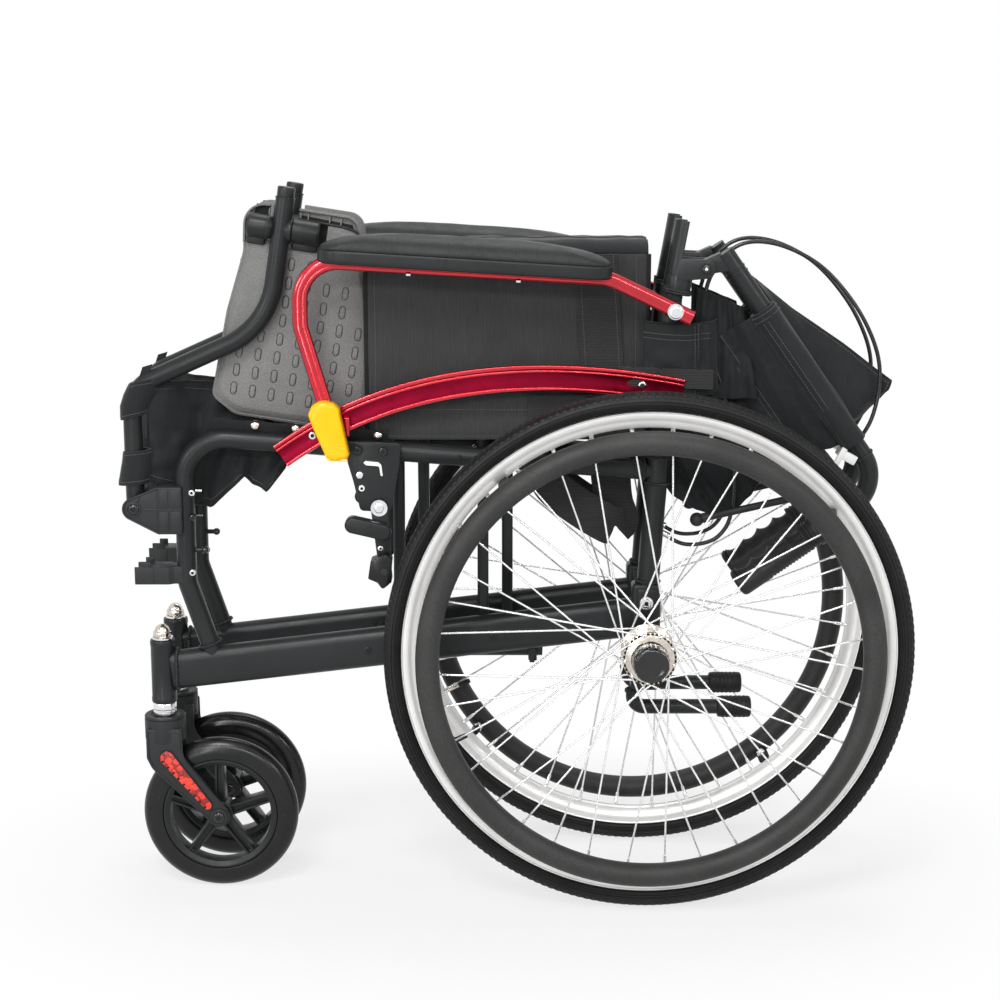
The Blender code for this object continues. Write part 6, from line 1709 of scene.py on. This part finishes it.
def post_pocket():
    """The cloth pocket wrapped round the rear post."""

    def spot(v, u):
        z = 0.552 + 0.075 * v
        x0, x1 = -0.007, 0.064 - 0.002 * v
        if u < 0.72:
            x = x0 + (x1 - x0) * (u / 0.72)
            bulge = math.sqrt(max(0.0, 1 - ((x - post_x(z)) / 0.034) ** 2))
            y = Y - 0.002 - 0.0135 * bulge
        else:
            t = (u - 0.72) / 0.28
            x = x1 + 0.01 * math.sin(math.pi * t * 0.5)
            y = Y - 0.002 + 0.022 * t
        here = at(x, y, z - 0.003 * math.sin(math.pi * u))
        here.y += ripple((x, 0, z), 55, 0.003, 2.0) * (1.0 - 0.4 * v)
        here.y += 0.0012 * math.sin(z * 260 + x * 120) * math.exp(-((v - 0.25) / 0.3) ** 2)
        return here

    grid = grid_of(28, 52, spot)
    p = Piece()
    shell(p, grid, 0.002, NYLON)
    for i in (0, 28):
        p.tube(grid[i], 0.0013, BLACK_TAPE, 8)
    for line in (grid[22], grid[24], column(grid, 29), column(grid, 31)):
        sewn(p, line, 0.0013)
    cloth(p, "post_pocket", "frame", "stretched", flat_of(grid), "side_frame")


def pocket_drape():
    """The cloth that hangs from the pocket, and the strap round it."""

    def spot(v, u):
        x = 0.05 + u * (0.066 - 0.018 * v)
        z = 0.542 + v * (0.118 - 0.02 * u)
        y = -0.029 + 0.0022 * math.sin(u * 17 + v * 2.5) + 0.001 * math.sin(u * 39 - v * 9)
        y += ripple((x, 0, z), 60, 0.002, 5.0)
        return at(x, min(y, -0.0262), z)

    grid = grid_of(36, 32, spot)
    hang = Piece()
    shell(hang, grid, 0.0018, NYLON)
    hang.tube(column(grid, -1), 0.001, BLACK_TAPE, 8)
    cloth(hang, "pocket_drape", "frame", "hung", flat_of(grid), "post_pocket")
    line = [at(-0.03 + 0.096 * t, Y - 0.0165 - 0.001 * math.sin(t * 9), 0.5705 - 0.004 * t)
            for t in (i / 40 for i in range(41))]
    band = Piece()
    strap_along(band, line, 0.02, 0.0016, UP)
    cloth(band, "pocket_strap", "frame", "stretched", (0.02, run_length(line)), "post_pocket",
          smooth=50)


# Seat


def seat_cloth():
    """The seat's half that hangs folded between the two sides."""

    def spot(u, v):
        x = -0.2975 + 0.2955 * u
        z = 0.503 + 0.193 * v
        edge = 1 - abs(2 * u - 1) ** 6
        y = -0.0405 + ripple((x, 0, z * 0.5), 16, 0.003, 1.0) * math.sin(math.pi * v)
        y += ripple((x * 1.5, 0, z * 0.4), 45, 0.001, 4.0) * edge
        y -= 0.0028 * math.exp(-((v - 0.045) / 0.04) ** 2) * edge
        y += 0.002 * math.exp(-((v - 0.125) / 0.035) ** 2) * edge
        return at(x, y, z)

    grid = grid_of(96, 60, spot)
    p = Piece()
    shell(p, grid, 0.005, SEAT_CLOTH)
    p.tube([q + OUT * 0.0004 for q in column(grid, 0)], 0.0032, SEAT_CLOTH, 12)
    for end in (grid[0], grid[-1]):
        p.tube(end, 0.003, BLACK_TAPE, 12)
    for i in (3, 92):
        sewn(p, grid[i], 0.0027, 0.00036, 0.0038)
    sewn(p, column(grid, 9), 0.0028, 0.00036, 0.0038)
    cloth(p, "seat_cloth", "seat", "hung", flat_of(grid), "seat_curl", ["seat_cloth"],
          area=grid_area(grid) * 0.999)


def seat_webbing():
    """The belt down the cloth's side and the short one across its foot."""
    line = []
    for t in (i / 60 for i in range(61)):
        z = 0.556 + 0.139 * t
        x = -0.049 - 0.0092 * (t - 0.15)
        y = -0.044 + ripple((x, 0, z), 26, 0.0012, 6.0)
        line.append(at(x, y - 0.0006, z))
    grid = [[here + Vector((0.044 * (k / 10 - 0.5), 0, 0.002 * (k / 10 - 0.5)))
             for k in range(11)] for here in line]
    p = Piece()
    shell(p, grid, 0.0018, WEBBING, 0.85)
    for j in (1, 9):
        sewn(p, column(grid, j), 0.0012, pitch=0.0032)
    cloth(p, "seat_webbing", "seat", "hung", (0.044, run_length(line)), "seat_cloth", smooth=50)
    run = [at(-0.127 + 0.095 * i / 20, -0.0448 - 0.0008 * math.sin(i * 0.7), 0.529)
           for i in range(21)]
    low = Piece()
    strap_along(low, run, 0.038, 0.0018, UP)
    cloth(low, "seat_strap", "seat", "hung", (0.038, run_length(run)), "seat_cloth", smooth=50)


def seat_curl():
    """The top of the seat cloth, turned over the rail, in a darker look as painted shade."""

    def spot(u, t):
        if t < 0.7:
            a = math.pi / 2 * t / 0.7
            y, z = -0.024 - 0.016 * math.cos(a), RAIL_Z + 0.0128 * math.sin(a)
        else:
            y, z = -0.024 + 0.0205 * (t - 0.7) / 0.3, RAIL_Z + 0.0128
        x = -0.2975 + 0.2955 * u
        return at(x, y, z + ripple((x, y, z), 60, 0.0016, 9.0) * t)

    grid = grid_of(96, 18, spot)
    p = Piece()
    # The curl takes the darker nylon look, not the seat cloth's own: painted shade that keeps its
    # upward face as dark as the seat's front.
    shell(p, grid, 0.003, NYLON)
    p.tube(column(grid, -1), 0.0022, BLACK_TAPE, 10)
    for piece in p.done("seat_curl", "seat", (), smooth=60):
        flat_of(grid)
        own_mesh(piece)


def hanging_strap():
    """The spare webbing that hangs below the seat in a loop."""
    points = [(-0.0385, 0.476), (-0.037, 0.455), (-0.034, 0.43), (-0.027, 0.408),
              (-0.033, 0.401), (-0.05, 0.409), (-0.078, 0.427), (-0.1, 0.445), (-0.108, 0.462)]
    line = xz(smooth_route(points, 7), -0.02)
    turns = []
    count = len(line)
    for i in range(count):
        t = i / (count - 1)
        ahead = line[min(i + 1, count - 1)] - line[max(i - 1, 0)]
        side = Vector((-ahead.z, 0, ahead.x)).normalized()
        if t < 0.38:
            side = Vector((1, 0, 0.05))
        elif t < 0.55:
            side = Vector((1, 0, 0.05)).lerp(side if side.x > 0 else -side, (t - 0.38) / 0.17)
        else:
            side = side if side.x > 0 else -side
        turns.append(side + Vector((0, 0.2 * math.sin(t * 5), 0)))
        line[i] = line[i] + Vector((0, 0.004 * math.sin(t * 6) - 0.002 * (t > 0.45), 0))
    p = Piece()
    strap_along(p, line, 0.042, 0.0017, UP, WEBBING, turns)
    cloth(p, "hanging_strap", "frame", "hung", (0.042, run_length(line)), "side_frame",
          smooth=50)


def rivet_strip():
    """The cloth strip rivetted along the top tube, ahead of the brake plate."""
    line = []
    for t in (i / 60 for i in range(61)):
        x = -0.462 + 0.185 * t
        line.append(at(x, Y - 0.003, top_tube_z(x) + TUBE_R + 0.0035 + 0.0006 * math.sin(t * 30)))
    grid = [[here + Vector((0, -0.0045 + 0.0012 * k, 0.0075 - 0.016 * k / 8))
             for k in range(9)] for here in line]
    p = Piece()
    shell(p, grid, 0.0022, NYLON, 0.8)
    for t in (0.26, 0.49, 0.955):
        p.turned([(0.005, 0.0), (0.0046, 0.0009), (0.003, 0.0018), (0.0, 0.0021)],
                 grid[int(t * 60)][2] + OUT * 0.0012, Vector((0, -1, 0.25)), NICKEL, 20, False)
    cloth(p, "rivet_strip", "frame", "stretched", (0.0187, run_length(line)), "side_frame",
          smooth=50)


# Cross-brace


def brace(name, x_bars, side, with_pins, centre_z=0.4805):
    """One welded X-shaped half of the cross-brace, from its tube up to its rail."""
    p = Piece()
    low_y, high_y = side * PIVOT_Y, -side * PIVOT_Y
    rise = RAIL_Z - PIVOT_Z
    for x0, x1, y, z, radius, neck, steps in (
            (-0.283, -0.05, high_y, RAIL_Z, 0.01, ((0.0085, 0.0016), (0.0, 0.0018)), 32),
            (-0.3, -0.112, low_y, PIVOT_Z, 0.008, ((0.007, 0.0014), (0.0, 0.0016)), 28)):
        p.rod(at(x0, y, z), at(x1, y, z), radius, POWDER, 32)
        for x, way in ((x0, -1), (x1, 1)):
            p.turned([(radius, -0.0006), (radius, 0.0008), *neck], at(x, y, z), (way, 0, 0),
                     PLASTIC, steps, False)
    length = math.hypot(rise, high_y - low_y)
    turn = Matrix.Rotation(-math.atan2(high_y - low_y, rise), 4, "X")
    for x in x_bars:
        middle = at(x, 0, centre_z)
        half = Vector((0.006, 0.009, length / 2))
        p.box(middle - half, middle + half, POWDER, 0.0028, 3, turn)
        for end, tube_r in ((-1, 0.008), (1, 0.01)):
            foot = middle + turn @ Vector((0, 0, end * (length / 2 - tube_r + 0.0005)))
            loop = [foot + turn @ Vector((0.0066 * math.cos(a), 0.0092 * math.sin(a), 0))
                    for a in angles(40)]
            p.weld(loop + loop[:1], POWDER, 0.0016, 0.0019)
        p.turned(mirrored([(0.0043, -0.0068), (0.0098, -0.0068)]), middle, (1, 0, 0), POWDER, 36,
                 bevel=0.0006)
        if with_pins:
            p.rod(at(x - 0.01, 0, centre_z), at(x + 0.0365, 0, centre_z), 0.004, CHROME, 20)
            p.bolt(at(x - 0.0085, 0, centre_z), (-1, 0, 0), 0.0062, CHROME, 0.003)
            p.nut(at(x + 0.033, 0, centre_z), (1, 0, 0), 0.0062, 0.004)
    p.done(name, name, both=False)


# Cable and its fittings


CABLE_ROUTE = [(0.012, 0.398), (0.044, 0.382), (0.079, 0.391), (0.094, 0.43), (0.088, 0.52),
               (0.062, 0.61), (0.062, 0.664), (0.09, 0.702), (0.13, 0.706), (0.178, 0.684),
               (0.216, 0.644), (0.24, 0.6), (0.247, 0.562), (0.24, 0.52), (0.222, 0.488)]


def brake_cable():
    line = smooth_route(xz(CABLE_ROUTE, CABLE_Y), 8)
    p = Piece()
    p.tube(line, 0.0022, CABLE, 14)
    for obj in p.done("brake_cable", smooth=180):
        path = [Vector((q.x, q.y * -side_of(obj), q.z)) for q in line]
        run_length(path)
        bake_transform(obj)


def cable_fittings():
    """The cable's metal end on the frame and its white clip on the cane."""
    p = Piece()
    start, after = xz(CABLE_ROUTE[:2], CABLE_Y)
    p.turned([(0.0024, 0.016), (0.0034, 0.015), (0.0034, 0.002), (0.0046, 0.0015),
              (0.0046, -0.004), (0.003, -0.0048), (0.0, -0.0048)], start, after - start, CHROME,
             24, False)
    p.box(at(0.004, -0.042, 0.395), at(0.012, -0.0225, 0.404), POWDER, 0.0012)
    p.done("cable_anchor", "frame", ())
    clip = Piece()
    place = at(0.207, CABLE_Y, 0.488)
    lean = Matrix.Rotation(math.radians(28), 4, "Y")
    for low, high, bevel in (((-0.0035, -0.031, -0.0105), (0.0135, 0.0045, -0.0005), 0.0012),
                             ((-0.007, -0.0315, -0.014), (-0.001, -0.0262, 0.006), 0.001)):
        clip.box(place + Vector(low), place + Vector(high), WHITE_CLIP, bevel, turn=lean)
    clip.done("cable_clip", "cane", ())


# Floor, light and camera


def camera():
    data = bpy.data.cameras.new("camera")
    data.lens = 72.4
    data.sensor_width = 36.0
    made = placed("camera", data)
    made.location = at(-0.157, -2.147, 0.872)
    made.rotation_euler = (math.radians(78.25), 0, 0)
    bpy.context.scene.camera = made


def white_seen(tree):
    """1 for rays from the camera, from gloss and through clear parts."""
    path = tree.nodes.new("ShaderNodeLightPath")
    total = path.outputs["Is Camera Ray"]
    for name in ("Is Glossy Ray", "Is Transmission Ray"):
        total = node_of(tree, "Math", {0: total, 1: path.outputs[name]},
                        operation="MAXIMUM").outputs[0]
    return total


def floor():
    """A pale floor that keeps a faint shadow near the wheels and fades to white."""
    mesh = bpy.data.meshes.new("floor")
    shape = bmesh.new()
    bmesh.ops.create_grid(shape, x_segments=2, y_segments=2, size=9.0)
    shape.to_mesh(mesh)
    shape.free()
    made = placed("floor", mesh)
    made.location = (0.0, 0.0, -0.0006)
    g = Graph("pale_floor", (0.8, 0.8, 0.8), 0.9, specular=0.0)
    squeezed = g.scaled((1.0, 1.6, 1.0))
    length = g.node("VectorMath", {0: squeezed}, operation="LENGTH").outputs["Value"]
    fade = g.node("MapRange", {"From Min": 0.35, "From Max": 0.75, "To Min": 0.72, "To Max": 1.0,
                               "Value": length}, interpolation_type="SMOOTHSTEP")
    seen = g.math("MULTIPLY", white_seen(g.tree), fade.outputs["Result"])
    glow = g.node("Emission", {})
    mix = g.node("MixShader", {"Fac": seen, 1: g.shader.outputs[0], 2: glow.outputs[0]})
    g.tree.links.new(mix.outputs[0], g.tree.nodes["Material Output"].inputs["Surface"])
    mesh.materials.append(g.made)


def world():
    """Soft even light; the camera, metal and clear parts see pure white."""
    made = bpy.data.worlds.new("studio")
    made.use_nodes = True
    tree = made.node_tree
    soft = tree.nodes["Background"]
    soft.inputs["Color"].default_value = (1.0, 1.0, 1.0, 1)
    soft.inputs["Strength"].default_value = 0.25
    white = node_of(tree, "Background", {"Color": (1, 1, 1, 1), "Strength": 1.0})
    mix = node_of(tree, "MixShader", {"Fac": white_seen(tree), 1: soft.outputs[0],
                                      2: white.outputs[0]})
    tree.links.new(mix.outputs[0], tree.nodes["World Output"].inputs["Surface"])
    bpy.context.scene.world = made


def lamp(name, place, target, size, power, tall=None):
    """A soft disc or strip of light that looks at its target."""
    data = bpy.data.lights.new(name, "AREA")
    data.shape = "DISK"
    data.size = size
    if tall:
        data.shape = "RECTANGLE"
        data.size_y = tall
    data.energy = power
    made = placed(name, data)
    made.location = place
    aim = Vector(target) - Vector(place)
    made.rotation_euler = aim.to_track_quat("-Z", "Y").to_euler()


for build in (camera, brake_cable, cable_fittings, rear_tyre, rear_rim, wheel_spokes, handrim,
              hub_cap, caster_tyre, caster_rim, caster_fork, fork_stem, fork_reflector,
              side_frame, side_guard, leg_bracket, lower_clip, tipping_lever, brake_plate,
              brake_lever, armrest_bar, arm_pad, armrest_latch, legrest_tube, footplate,
              back_cane, push_grip, attendant_lever, back_sleeve, back_drape, back_flap,
              post_pocket, pocket_drape):
    build()
brace("brace_a", (-0.2665, -0.1755), -1, True)
brace("brace_b", (-0.24, -0.149), 1, False)
for build in (calf_strap, seat_cloth, seat_webbing, seat_curl, hanging_strap, rivet_strip, floor,
              world):
    build()
lamp("key", (-0.7, -2.3, 2.9), (0, 0, 0.4), 1.1, 54)
lamp("left", (-2.5, -1.9, 1.3), (0, 0, 0.4), 0.8, 20)
lamp("right", (2.5, -2.0, 1.7), (0, 0, 0.4), 0.8, 17)
lamp("top", (0.2, 0.6, 3.0), (0, 0, 0.3), 1.6, 28)
lamp("long_strip", (0.0, -2.9, 1.75), (0, 0, 0.5), 3.2, 32, 0.1)
lamp("tall_strip", (-1.0, -2.9, 1.0), (0, 0, 0.6), 0.16, 18, 2.0)
bpy.context.scene.view_settings.view_transform = "Standard"
